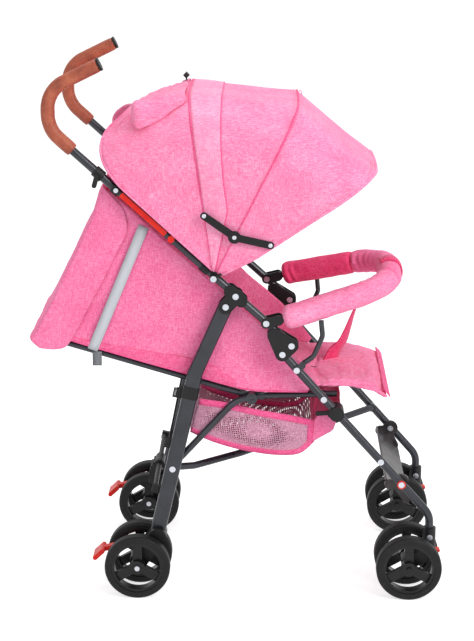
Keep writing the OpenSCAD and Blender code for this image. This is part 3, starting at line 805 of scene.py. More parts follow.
@dataclass(frozen=True)
class Webbing:
    """Woven polypropylene webbing: a fine slanting rib and a slight gloss."""

    name: str = "polypropylene_webbing"
    colour: str = "#D5D8DE"
    shade: str = "#B4B8C0"
    rib_mm: float = 2.2
    rib_depth_mm: float = 0.3

    def build(self) -> bpy.types.Material:
        """Builds the ribbed webbing.

        Returns:
            The material.
        """
        material, tree = blank_material(self.name)
        where = add_node(tree, "ShaderNodeTexCoord")
        mapping = add_node(
            tree,
            "ShaderNodeMapping",
            {"Vector": where.outputs["Object"], "Scale": [1.0 / (self.rib_mm * MM)] * 3},
        )
        ribs = add_node(
            tree,
            "ShaderNodeTexWave",
            {"Vector": mapping.outputs["Vector"], "Scale": 0.32, "Distortion": 0.4},
        )
        colour = ramp(tree, ribs.outputs["Fac"], ((0.2, self.shade), (0.7, self.colour)))
        bump = add_node(
            tree,
            "ShaderNodeBump",
            {"Height": ribs.outputs["Fac"], "Strength": 0.5, "Distance": self.rib_depth_mm * MM},
        )
        shader = add_node(
            tree,
            "ShaderNodeBsdfPrincipled",
            {"Base Color": colour, "Normal": bump.outputs["Normal"], "Roughness": 0.5, "Sheen Weight": 0.1},
        )
        add_node(tree, "ShaderNodeOutputMaterial", {"Surface": shader.outputs["BSDF"]})
        return material


@dataclass(frozen=True)
class Leatherette:
    """PVC leatherette embossed with a pebble grain, darker and shinier where hands have worn it."""

    name: str = "pvc_leatherette"
    light: str = "#B9654A"
    dark: str = "#8A3F2B"
    grain_mm: float = 2.2
    grain_depth_mm: float = 0.4

    def build(self) -> bpy.types.Material:
        """Builds the grained leatherette.

        Returns:
            The material.
        """
        material, tree = blank_material(self.name)
        where = add_node(tree, "ShaderNodeTexCoord")
        grain = add_node(
            tree,
            "ShaderNodeTexVoronoi",
            {"Vector": where.outputs["Object"], "Scale": 1.0 / (self.grain_mm * MM)},
            feature="SMOOTH_F1",
        )
        patch = stretched_noise(tree, (28.0, 28.0, 28.0), detail=4.0)
        level = add_node(
            tree,
            "ShaderNodeMath",
            {0: grain.outputs["Distance"], 1: 0.25, 2: patch},
            operation="MULTIPLY_ADD",
        )
        colour = ramp(tree, level.outputs[0], ((0.4, self.dark), (0.62, "#A6523A"), (0.8, self.light)))
        rough = add_node(
            tree,
            "ShaderNodeMapRange",
            {"Value": patch, "From Min": 0.3, "From Max": 0.7, "To Min": 0.38, "To Max": 0.56},
        )
        bump = add_node(
            tree,
            "ShaderNodeBump",
            {"Height": grain.outputs["Distance"], "Strength": 0.5, "Distance": self.grain_depth_mm * MM},
            invert=True,
        )
        shader = add_node(
            tree,
            "ShaderNodeBsdfPrincipled",
            {
                "Base Color": colour,
                "Roughness": rough.outputs["Result"],
                "Normal": bump.outputs["Normal"],
                "Specular IOR Level": 0.4,
            },
        )
        add_node(tree, "ShaderNodeOutputMaterial", {"Surface": shader.outputs["BSDF"]})
        return material


@dataclass(frozen=True)
class PowderCoat:
    """Steel tube under satin polyester powder coat: slate grey, faint orange peel, long soft highlight."""

    name: str = "powder_coated_steel"
    colour: str = "#1B1D23"
    edge: str = "#2B2E37"
    peel_mm: float = 1.8
    peel_depth_mm: float = 0.2
    roughness: float = 0.28

    def build(self) -> bpy.types.Material:
        """Builds the coated metal.

        Returns:
            The material.
        """
        material, tree = blank_material(self.name)
        peel = stretched_noise(tree, (self.peel_mm,) * 3, detail=1.0)
        tone = stretched_noise(tree, (35.0, 35.0, 35.0), detail=3.0)
        colour = ramp(tree, tone, ((0.3, self.colour), (0.75, self.edge)))
        rough = add_node(
            tree,
            "ShaderNodeMapRange",
            {
                "Value": tone,
                "From Min": 0.3,
                "From Max": 0.7,
                "To Min": self.roughness - 0.04,
                "To Max": self.roughness + 0.08,
            },
        )
        bump = add_node(
            tree, "ShaderNodeBump", {"Height": peel, "Strength": 0.12, "Distance": self.peel_depth_mm * MM}
        )
        shader = add_node(
            tree,
            "ShaderNodeBsdfPrincipled",
            {
                "Base Color": colour,
                "Metallic": 0.35,
                "Roughness": rough.outputs["Result"],
                "Normal": bump.outputs["Normal"],
                "Coat Weight": 0.25,
                "Coat Roughness": 0.18,
            },
        )
        add_node(tree, "ShaderNodeOutputMaterial", {"Surface": shader.outputs["BSDF"]})
        return material


@dataclass(frozen=True)
class Moulded:
    """Injection-moulded plastic: an even colour, slightly dulled in patches, with the mould's fine grain."""

    name: str = "moulded_abs"
    colour: str = "#0A0A0C"
    worn: str = "#18181B"
    roughness: float = 0.46
    grain_mm: float = 0.9
    grain_depth_mm: float = 0.12

    def build(self) -> bpy.types.Material:
        """Builds the moulded plastic.

        Returns:
            The material.
        """
        material, tree = blank_material(self.name)
        grain = stretched_noise(tree, (self.grain_mm,) * 3, detail=3.0)
        tone = stretched_noise(tree, (22.0, 22.0, 22.0), detail=4.0)
        colour = ramp(tree, tone, ((0.4, self.colour), (0.85, self.worn)))
        rough = add_node(
            tree,
            "ShaderNodeMapRange",
            {
                "Value": grain,
                "From Min": 0.3,
                "From Max": 0.7,
                "To Min": self.roughness - 0.06,
                "To Max": self.roughness + 0.08,
            },
        )
        bump = add_node(
            tree,
            "ShaderNodeBump",
            {"Height": grain, "Strength": 0.35, "Distance": self.grain_depth_mm * MM},
        )
        shader = add_node(
            tree,
            "ShaderNodeBsdfPrincipled",
            {
                "Base Color": colour,
                "Roughness": rough.outputs["Result"],
                "Normal": bump.outputs["Normal"],
                "Specular IOR Level": 0.3,
            },
        )
        add_node(tree, "ShaderNodeOutputMaterial", {"Surface": shader.outputs["BSDF"]})
        return material


@dataclass(frozen=True)
class ZincPlate:
    """Bright zinc-plated steel, tumbled before plating, so its shine is broken by fine marks."""

    name: str = "zinc_plated_steel"
    colour: str = "#D3D6DC"
    mark_depth_mm: float = 0.1

    def build(self) -> bpy.types.Material:
        """Builds the plated metal.

        Returns:
            The material.
        """
        material, tree = blank_material(self.name)
        marks = stretched_noise(tree, (0.8, 0.8, 3.0), detail=4.0)
        colour = ramp(tree, marks, ((0.3, "#A9ADB6"), (0.7, self.colour)))
        rough = add_node(
            tree,
            "ShaderNodeMapRange",
            {"Value": marks, "From Min": 0.3, "From Max": 0.7, "To Min": 0.2, "To Max": 0.38},
        )
        bump = add_node(
            tree,
            "ShaderNodeBump",
            {"Height": marks, "Strength": 0.15, "Distance": self.mark_depth_mm * MM},
        )
        shader = add_node(
            tree,
            "ShaderNodeBsdfPrincipled",
            {
                "Base Color": colour,
                "Metallic": 1.0,
                "Roughness": rough.outputs["Result"],
                "Normal": bump.outputs["Normal"],
            },
        )
        add_node(tree, "ShaderNodeOutputMaterial", {"Surface": shader.outputs["BSDF"]})
        return material


@dataclass(frozen=True)
class FoamTyre:
    """Closed-cell EVA foam tyre: matt black, skinned in the mould, with a trace of dust on its tread."""

    name: str = "eva_foam"
    colour: str = "#0B0B0D"
    dust: str = "#1A1A1C"
    cell_depth_mm: float = 0.2

    def build(self) -> bpy.types.Material:
        """Builds the foam.

        Returns:
            The material.
        """
        material, tree = blank_material(self.name)
        cells = stretched_noise(tree, (1.1, 1.1, 1.1), detail=4.0)
        dust = stretched_noise(tree, (14.0, 14.0, 14.0), detail=5.0)
        colour = ramp(tree, dust, ((0.45, self.colour), (0.8, self.dust)))
        bump = add_node(
            tree, "ShaderNodeBump", {"Height": cells, "Strength": 0.4, "Distance": self.cell_depth_mm * MM}
        )
        shader = add_node(
            tree,
            "ShaderNodeBsdfPrincipled",
            {
                "Base Color": colour,
                "Roughness": 0.58,
                "Normal": bump.outputs["Normal"],
                "Specular IOR Level": 0.28,
            },
        )
        add_node(tree, "ShaderNodeOutputMaterial", {"Surface": shader.outputs["BSDF"]})
        return material


@dataclass
class FinishBook:
    """Every finish of the stroller, built once and looked up by name."""

    made: dict[str, bpy.types.Material] = field(default_factory=dict)

    def get(self, finish: object) -> bpy.types.Material:
        """Returns the material of a finish, building it on first use.

        Args:
            finish: a finish dataclass.

        Returns:
            Its material.
        """
        key = finish.name
        if key not in self.made:
            self.made[key] = finish.build()
        return self.made[key]


PINK = HeatherCloth()
# A lighter copy of the pink cloth for the surfaces that face the key light: painted light.
PINK_LIT = HeatherCloth(name="heather_polyester_canopy", light="#FFAFD0", middle="#FF8CB8", dark="#F7739F")
PALE = HeatherCloth(name="heather_polyester_band", light="#FFBAD7", middle="#FF9CC2", dark="#FB84AE")
# A deeper copy of the pink cloth for the side cloths: painted shade.
PINK_SHADE = HeatherCloth(name="heather_polyester_side", light="#FF9CC2", middle="#FB7EAD", dark="#F0609A")
# A darker copy still, for the fold along each side's lower edge: a real fold with painted shade in it.
FOLD_SHADE = HeatherCloth(name="heather_polyester_fold", light="#FF87B2", middle="#F8699C", dark="#EA5089")
# A deep copy of the pink cloth for the far length of the bumper sleeve: painted shade.
SHADED = HeatherCloth(name="heather_polyester_far", light="#FF6A98", middle="#F64A80", dark="#E4386E")
BINDING = HeatherCloth(
    name="bias_binding", light="#FF7FB0", middle="#F55C95", dark="#E24683", slub_mm=1.2, slub_length_mm=4.0
)
STRAP = HeatherCloth(name="folded_strap", light="#F65C8C", middle="#EA4176", dark="#D43065")
WEBBING_END = Webbing(name="webbing_end", colour="#8E9197", shade="#3C3D40")
LINING = HeatherCloth(name="grey_lining", light="#E8E5E6", middle="#DBD7D8", dark="#CBC6C8")
# A dark roll standing for the shadow inside the belt slot: painted shadow, not a lining.
SLOT_SHADOW = HeatherCloth(name="belt_slot_painted_shadow", light="#8A3B55", middle="#6B2A40", dark="#4E1D2E")
MESH = MeshCloth()
LEATHER = Leatherette()
THREAD = Webbing(name="sewing_thread", colour="#FFB0CF", shade="#F08DB6", rib_mm=1.0)
GRIP_THREAD = Webbing(name="grip_thread", colour="#C98468", shade="#A8634A", rib_mm=1.0)
TUBE = PowderCoat()
ZINC = ZincPlate()
BLACK = Moulded()
BLACK_GLOSS = Moulded(
    name="moulded_polyamide", colour="#08080A", worn="#131316", roughness=0.3, grain_depth_mm=0.06
)
RED = Moulded(
    name="moulded_red_polypropylene", colour="#E0180F", worn="#F03A22", roughness=0.36, grain_depth_mm=0.05
)
PEDAL = Moulded(name="moulded_grey_polypropylene", colour="#1C1C1F", worn="#333438", roughness=0.45)
FOOT = Moulded(name="moulded_taupe_polypropylene", colour="#262426", worn="#575153", roughness=0.32)

SLOT_FINISH = {
    "painted_tube": TUBE,
    "bare_tube": TUBE,
    "black_plastic": BLACK,
    "grip_leatherette": LEATHER,
    "red_plastic": RED,
    "pedal_plastic": PEDAL,
    "heather_cloth": PINK,
    "strap_cloth": STRAP,
    "mesh_cloth": MESH,
    "webbing": Webbing(),
    "zinc_steel": ZINC,
    "bow_rod": BLACK_GLOSS,
    "rim_plastic": BLACK_GLOSS,
    "tyre_foam": FoamTyre(),
}


def dress(obj: Thing, material: bpy.types.Material) -> None:
    """Gives a new piece one material."""
    obj.data.materials.clear()
    obj.data.materials.append(material)


@dataclass
class Workshop:
    """What every sub-assembly needs: the finishes and the way pieces are handed to the frame."""

    book: FinishBook

    def finish(
        self,
        obj: Thing,
        finish: object,
        slot: str,
        body: str | None = None,
        replaces: Sequence[str] = (),
    ) -> Thing:
        """Dresses a piece and hands it to the frame.

        Args:
            obj: the piece.
            finish: its finish.
            slot: the record's material slot; not used.
            body: the body it rides on, or None to leave it unattached.
            replaces: the CAD nodes it stands for.

        Returns:
            The piece.
        """
        dress(obj, self.book.get(finish))
        if body:
            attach(obj, body)
        if replaces:
            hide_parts(*replaces)
        LOG.info("built %s with %d faces", obj.name, len(obj.data.polygons))
        return obj

    def thread(
        self, name: str, path: Sequence[Vector], normals: Sequence[Vector], body: str, height: float
    ) -> Thing:
        """Sews a row of stitches along a path.

        Args:
            name: the row's name.
            path: the seam line.
            normals: for each point, the way out of the cloth.
            body: the body it rides on.
            height: how far the thread stands out, in millimetres.

        Returns:
            The stitches.
        """
        return self.finish(stitches(name, path, normals, 5.0, 3.4, height), THREAD, "heather_cloth", body)


# ---- the frame's own solids ----


@dataclass
class FrameDressing:
    """Finishes for the solids that come from the frame unchanged."""

    shop: Workshop
    frame: dict

    def dress(self) -> None:
        """Assigns each node the finish of its material slot."""
        slots = {part["node"]: part["material_slot"] for part in self.frame["record"]["subparts"]}
        special = {"footrest": FOOT}
        for name, obj in self.frame["nodes"].items():
            finish = special.get(name, SLOT_FINISH[slots[name]])
            material = self.shop.book.get(finish)
            for slot in obj.material_slots:
                slot.link = "OBJECT"
                slot.material = material
        LOG.info("dressed %d frame nodes", len(self.frame["nodes"]))


# ---- canopy ----


@dataclass(frozen=True)
class Hoop:
    """The shape of the cloth where it passes over one hoop."""

    angle: float
    radius: float
    half: float
    corner: float = 102.0
    crown: float = 5.0
    low: float = 14.0

    def profile(self) -> list[Point2]:
        """Lists points round the hoop, from the right hub over the top to the left hub.

        Returns:
            Distance from the hub's axis and Y of each point.
        """
        flat: list[Point2] = []
        straight = self.radius - self.corner
        for i in range(16):
            flat.append((self.low + (straight - self.low) * i / 16, -self.half))
        for i in range(12):
            a = math.pi / 2 * i / 12
            flat.append((straight + self.corner * math.sin(a), -self.half + self.corner * (1 - math.cos(a))))
        for i in range(14):
            flat.append((self.radius, (-self.half + self.corner) * (1 - i / 13)))
        return flat + [(r, -y) for r, y in reversed(flat[:-1])]


Bend = Callable[[Hoop, float, float], float]


@dataclass
class Canopy:
    """A fan of cloth over three hoops that turn about one hub on each side."""

    shop: Workshop
    hub: Point2 = (150.07, 639.6)
    rear: Hoop = Hoop(98.2, 335.4, 191.0)
    main: Hoop = Hoop(63.2, 345.4, 196.6, crown=8.0)
    front: Hoop = Hoop(31.8, 355.4, 202.2, crown=8.0, low=20.0)
    seam_angle: float = 88.0
    opening_tube: float = 137.3
    opening_side: float = 135.1
    opening_corner: float = 124.2
    opening_top: float = 118.5

    def at(self, r: float, y: float, angle: float) -> Vector:
        """Places a point given from the hub.

        Args:
            r: distance from the hub's axis.
            y: to the stroller's left.
            angle: above level.

        Returns:
            The point in metres.
        """
        rad = math.radians(angle)
        return place(self.hub[0] + r * math.cos(rad), y, self.hub[1] + r * math.sin(rad))

    def section(
        self, hoop: Hoop, bend: Bend | None = None, shrink: float = 0.0, dip: float = 0.0
    ) -> list[Vector]:
        """Places the points of one hoop, each at its own angle where the cloth leaves the hoop's plane.

        Args:
            hoop: the hoop.
            bend: gives a point's angle, or None for the hoop's own.
            shrink: how much smaller the section is, in millimetres.
            dip: how much lower its top lies, in millimetres.

        Returns:
            The section's points.
        """
        out = []
        for r, y in hoop.profile():
            rise = hoop.crown * (1 - (y / hoop.half) ** 2) * max(0.0, (r - 200) / 150)
            inward = shrink * max(0.0, (r - 60) / hoop.radius) + dip * max(0.0, (r - 260) / 75)
            side = max(0.0, 1 - shrink / hoop.half * 0.6)
            angle = bend(hoop, r, y) if bend else hoop.angle
            out.append(self.at(r + rise - inward, y * side, angle))
        return out

    def rear_edge(self, hoop: Hoop, r: float, y: float) -> float:
        """The angle of the rear opening's edge: low on the tubes at the sides, high over the middle.

        Args:
            hoop: the rear hoop.
            r: the point's distance from the hub's axis.
            y: the point's place across.

        Returns:
            The angle above level, in degrees.
        """
        flat_half = hoop.half - hoop.corner
        if abs(y) >= hoop.half - 0.01:
            return max(hoop.angle + 1.5, self.opening_tube - math.degrees(math.asin(min(0.95, 9.0 / r))))
        if abs(y) > flat_half:
            turn = math.degrees(math.asin(min(1.0, (r - hoop.radius + hoop.corner) / hoop.corner)))
            return self.opening_side - (self.opening_side - self.opening_corner) * (turn / 90) ** 2.6
        top_drop = self.opening_corner - self.opening_top
        return self.opening_corner - top_drop * (1 - abs(y) / flat_half) ** 0.6

    def front_edge(self, hoop: Hoop, r: float, y: float) -> float:
        """The angle of the visor's hem, which droops towards the hubs."""
        return hoop.angle - 4.6 * math.exp(-max(0.0, r - 90) / 70)

    def second_seam(self, r: float) -> float:
        """How far across the top panel its second seam runs, at distance r from the hub."""
        spread = self.rear.angle - self.seam_angle + 9.0 * math.exp(-max(0.0, r - 135) / 60)
        return spread / (self.rear.angle - self.main.angle)

    def span(self, a: Sequence[Vector], b: Sequence[Vector], count: int, slack: float) -> list[list[Vector]]:
        """Stretches rows of points between two sections, drawn in slightly between them.

        Args:
            a: the first section.
            b: the second section.
            count: how many strips.
            slack: how far the middle sinks towards the hub, in millimetres.

        Returns:
            The grid of points.
        """
        middle = self.at(70, 0, 80)
        rows = []
        for i in range(count + 1):
            s = i / count
            row = []
            for p, q in zip(a, b):
                here = p.lerp(q, s)
                inward = (middle - here).normalized()
                row.append(here + inward * slack * MM * math.sin(math.pi * s))
            rows.append(row)
        return rows

    def build(self) -> None:
        """Builds the three panels with band, hems and stitching, and the rolled flap."""
        self.rear_panel()
        self.top_panel()
        self.visor()
        self.flap()

    def outward(self, path: Sequence[Vector]) -> list[Vector]:
        """For each point of a path, the way out of the canopy.

        Args:
            path: the points.

        Returns:
            The directions.
        """
        middle = self.at(90, 0, 80)
        out = []
        for p in path:
            d = p - middle
            out.append(Vector((d.x * 0.8, d.y * (2.2 if abs(d.y) > 0.15 else 0.5), d.z)).normalized())
        return out

    def piping(
        self, name: str, path: Sequence[Vector], size: float, finish: object, body: str | None
    ) -> Thing:
        """Sews a round piping along a path.

        Args:
            name: the piece's name.
            path: its middle line.
            size: its thickness.
            finish: its finish.
            body: the body it rides on.

        Returns:
            The piping.
        """
        return self.shop.finish(tube(name, path, size / 2, 8), finish, "heather_cloth", body)

    def rear_panel(self) -> None:
        """The fixed panel behind the rear hoop, open towards the handles."""
        a = self.section(self.rear)

        def part_way(share: float) -> list[Vector]:
            """The section part of the way to the opening, drawn in slightly between hoop and hem.

            Args:
                share: of the way.

            Returns:
                The section's points.
            """

            def bend(hoop: Hoop, r: float, y: float) -> float:
                """Turns each point its share of the way."""
                return hoop.angle + (self.rear_edge(hoop, r, y) - hoop.angle) * share

            drawn_in = math.sin(math.pi * share)
            return self.section(self.rear, bend, 4.0 * drawn_in + share, 9.0 * drawn_in)

        rows = [part_way(i / 12) for i in range(13)]
        edge = rows[-1]
        panel = cloth_sheet(rows, "canopy_rear_cloth", 1, 1.6)
        ruffle(panel, 2.6, (46, 80, 30), 3.1, 0.4)
        self.shop.finish(panel, PINK_LIT, "heather_cloth", "frame", ["canopy_rear_panel"])
        self.piping("rear_hoop_seam", lift(a, self.outward(a), 1.0), 2.4, BINDING, "frame")
        self.piping("rear_opening_hem", edge, 4.6, PINK_LIT, "frame")
        inner = part_way(0.84)
        self.shop.thread("rear_opening_stitches", inner, self.outward(inner), "frame", 1.6)

    def top_panel(self) -> None:
        """The panel from the rear hoop to the middle hoop, with the pale band sewn over its rear edge."""
        a, b = self.section(self.rear), self.section(self.main)
        rows = self.span(a, b, 16, 1.5)
        panel = cloth_sheet(rows, "canopy_top_cloth", 1, 1.6)
        ruffle(panel, 1.6, (90, 120, 40), 8.4, 0.2)
        self.shop.finish(panel, PINK_LIT, "heather_cloth", None, ["canopy_main_panel"])
        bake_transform(panel)
        band = []
        for j in range(7):
            row = []
            for (r, _), p, q in zip(self.rear.profile(), a, b):
                s = 0.015 + (self.second_seam(r) - 0.015) * j / 6
                row.append(p.lerp(q, s))
            band.append(lift(row, self.outward(row), 1.3 + 1.2 * math.sin(math.pi * j / 6)))
        strip = cloth_sheet(band, "canopy_band", 1, 1.2)
        self.shop.finish(strip, PALE, "heather_cloth", None)
        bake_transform(strip)
        seam = self.piping("second_seam", band[-1], 2.2, BINDING, None)
        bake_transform(seam)
        self.piping("middle_hoop_seam", lift(b, self.outward(b), 1.0), 3.0, BINDING, "canopy_mid")
        for share in (0.965, 1.035):
            row = [p.lerp(q, share) for p, q in zip(a, b)]
            side = "rear" if share < 1 else "front"
            self.shop.thread(f"middle_hoop_{side}_stitches", row, self.outward(row), "canopy_mid", 1.6)

    def visor(self) -> None:
        """The front panel, with the stitched hem along its front edge."""
        a, edge = self.section(self.main), self.section(self.front, self.front_edge)
        rows = self.span(a, edge, 16, 1.5)
        panel = cloth_sheet(rows, "canopy_visor_cloth", 1, 1.6)
        ruffle(panel, 1.8, (80, 100, 46), 21.7, 0.2)
        self.shop.finish(panel, PINK_LIT, "heather_cloth", None, ["canopy_front_panel"])
        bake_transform(panel)
        self.piping("visor_hem_roll", edge, 6.0, PINK_LIT, "canopy_front")
        inner = [p.lerp(q, 0.93) for p, q in zip(a, edge)]
        self.piping("visor_hem_fold", lift(inner, self.outward(inner), 0.6), 1.6, PALE, "canopy_front")
        row = [p.lerp(q, 0.945) for p, q in zip(a, edge)]
        self.shop.thread("visor_hem_stitches", row, self.outward(row), "canopy_front", 1.4)

    def flap(self) -> None:
        """The rolled-up window flap: a slack bundle of cloth tied in two places, behind the rear hoop."""
        rows = []
        stations, corner = 45, self.rear.corner
        straight = self.rear.half - corner
        for i in range(stations):
            v = i / (stations - 1)
            level = -150 + 300 * v
            left_tie, right_tie = ((level - 80) / 14) ** 2, ((level + 62) / 14) ** 2
            tuck = 1 - 0.35 * math.exp(-left_tie) - 0.2 * math.exp(-right_tie)
            end = min(1.0, 0.3 + 2.6 * min(v, 1 - v) ** 0.5)
            ring = []
            for k in range(32):
                a = 2 * math.pi * k / 32
                across, up = math.cos(a), math.sin(a)
                phi = 108.4 - 9.2 * across
                y = level * (1 - 0.08 * across)
                near = min(1.0, max(0.0, -y / 95))
                fade = 0.4 + 0.6 * near * near * (3 - 2 * near)
                lobe = 27 * math.exp(-(((phi - 114.8) / 3.2) ** 2) - ((y + 138) / 34) ** 2)
                uneven = noise.noise(Vector((y / 34, a * 1.3, 2.0)))
                lump = 15 + 3 * math.cos(2.2 * across + 0.8) + 3.0 * uneven
                past = max(0.0, abs(y) - straight)
                drop = corner - math.sqrt(max(0.0, corner**2 - past**2))
                base = 340 - 11 * math.sin(math.pi * min(1.0, (phi - self.rear.angle) / 26))
                rise = base + (0.5 + 0.5 * up) * (lump * tuck * fade * end + lobe) - drop
                ring.append(self.at(rise, y, phi))
            rows.append(ring)
        roll = grid_object("rolled_window_flap", rows, wrap_cols=True, caps=True)
        subdivide(roll, 1)
        ruffle(roll, 3.0, (16, 60, 16), 5.5, 0.7)
        self.shop.finish(roll, PINK_LIT, "heather_cloth", "frame", ["rolled_flap"])


# ---- cloth under the handle tubes ----


@dataclass
class SideCloths:
    """The deep head end and the two cloth sides that hang from the handle tubes round the lying child."""

    shop: Workshop
    side_y: float = 154.0
    head_y: float = 159.5

    def build(self) -> None:
        """Builds the sides, the head end and the recline straps."""
        for side in Side:
            self.side(side)
            self.strap(side)
        self.head_end()

    def side(self, side: Side) -> None:
        """One cloth side, from the hem on the tube down to the back frame.

        Args:
            side: left or right.
        """
        top = [(-60, 806), (-10, 765), (45, 714), (100, 664), (150, 619)]
        top += [(200, 573), (250, 528), (300, 482), (345, 425)]
        low = [(-148, 513), (-98, 497), (-40, 480), (20, 462), (80, 445)]
        low += [(140, 428), (190, 414), (235, 406), (330, 405)]
        rows = []
        steps = 22
        dense_top = smooth_curve(top, 6)
        dense_low = smooth_curve(low, 6)
        for a, b in zip(dense_top, dense_low):
            row = []
            for i in range(steps + 1):
                t = i / steps
                x, z = between(a, b, t)
                bow = 3.6 * math.sin(math.pi * t)
                fold = 2.0 * math.sin(x / 23 + z / 61) * math.sin(math.pi * t) ** 0.7
                row.append(place(x, side.value * (self.side_y - bow + fold), z))
            rows.append(row)
        panel = cloth_sheet(rows, f"side_cloth_{side.name.lower()}", 1, 1.4)
        crease(panel, 3.4, 34.0, 46.0, 4.0 + side.value)
        ruffle(panel, 2.4, (40, 30, 90), 4.0 + side.value, 0.35)
        # The sides take the deeper copy of the cloth as painted shade.
        self.shop.finish(panel, PINK_SHADE, "heather_cloth", "frame")
        hem = [place(x, side.value * (self.side_y + 1), z) for x, z in dense_low]
        piping = tube(f"side_hem_{side.name.lower()}", hem, 2.2, 8)
        self.shop.finish(piping, BINDING, "heather_cloth", "frame")
        self.hem_fold(side)
        if side is Side.LEFT:
            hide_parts("side_panels")

    def hem_fold(self, side: Side) -> None:
        """The deep fold of cloth along a side's lower edge, which widens towards the front; its darker cloth
        is painted shade.

        Args:
            side: left or right.
        """
        top = smooth_curve([(-140, 517), (-70, 500), (20, 485), (98, 472), (150, 455), (192, 424)], 6)
        low = smooth_curve([(-142, 512), (-70, 490), (20, 463), (98, 440), (150, 426), (190, 415)], 6)
        rows = []
        for a, b in zip(top, low):
            row = []
            for j in range(7):
                t = j / 6
                x, z = between(a, b, t)
                row.append(place(x, side.value * (self.side_y + 1.6 + 1.6 * math.sin(math.pi * t)), z))
            rows.append(row)
        fold = cloth_sheet(rows, f"side_hem_fold_{side.name.lower()}", 1, 1.4)
        ruffle(fold, 1.0, (40, 30, 30), 6.0, 0.4)
        self.shop.finish(fold, FOLD_SHADE, "heather_cloth", "frame")

    def head_end(self) -> None:
        """The boxed head end: two cheeks and a back in one folded sheet, with bunched lower corners."""
        back = [(-60, 809), (-70, 788), (-81, 753), (-95, 725), (-134, 645)]
        back += [(-176, 561), (-197, 523), (-207, 508), (-190, 492)]
        front = [(-20, 764), (-15, 742), (-15, 727), (-23, 702), (-58, 634)]
        front += [(-98, 558), (-122, 513), (-138, 492), (-158, 488)]
        steps = 10
        dense_back = smooth_curve(back, 6)
        dense_front = smooth_curve(front, 6)
        rows = []
        for (bx, bz), (fx, fz) in zip(dense_back, dense_front):
            cheek = []
            for i in range(steps):
                t = i / steps
                x, z = between((fx, fz), (bx, bz), t)
                cheek.append((x, self.head_y - 2 + 3.0 * math.sin(math.pi * t), z))
            row = [place(x, -y, z) for x, y, z in cheek]
            for i in range(25):
                t = i / 24
                y = -self.head_y + 2 * self.head_y * t
                inset = 10 * math.exp(-(((self.head_y - abs(y)) / 9) ** 2))
                sag = 5 * math.sin(math.pi * t)
                along = Vector((fx - bx, fz - bz)).normalized()
                row.append(place(bx + along.x * (inset * 0.5 + sag * 0.4), y, bz + along.y * inset * 0.5))
            row.extend(place(x, y, z) for x, y, z in reversed(cheek))
            rows.append(row)
        panel = cloth_sheet(rows, "head_end_cloth", 1, 1.6)
        ruffle(panel, 2.2, (45, 60, 38), 12.0, 0.3)
        self.shop.finish(panel, PINK, "heather_cloth", "frame", ["head_panel"])

    def strap(self, side: Side) -> None:
        """A recline strap with its loose webbing end.

        Args:
            side: left or right.
        """
        top, low = (17.4, 731.0), (-85.0, 487.0)
        path, across = [], []
        for i in range(25):
            t = i / 24
            bend = 2.0 * math.sin(math.pi * t) + 0.8 * math.sin(t * 17)
            x, z = between(top, low, t)
            path.append(place(x, side.value * (157.2 + bend), z))
            across.append(Vector((0.92, 0.0, -0.39)))
        band = tape(f"recline_strap_{side.name.lower()}", path, across, 20.0, 1.4)
        self.shop.finish(band, Webbing(), "webbing", "frame")
        tail = [place(-76, side.value * (157.0 + 0.6 * math.sin(i)), 484 - i * 4.0) for i in range(8)]
        end = tape(f"recline_strap_end_{side.name.lower()}", tail, [Vector((1, 0, 0))] * 8, 18.0, 1.8)
        self.shop.finish(end, WEBBING_END, "webbing", "frame")
        if side is Side.LEFT:
            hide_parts("recline_straps")


# ---- bumper bar ----


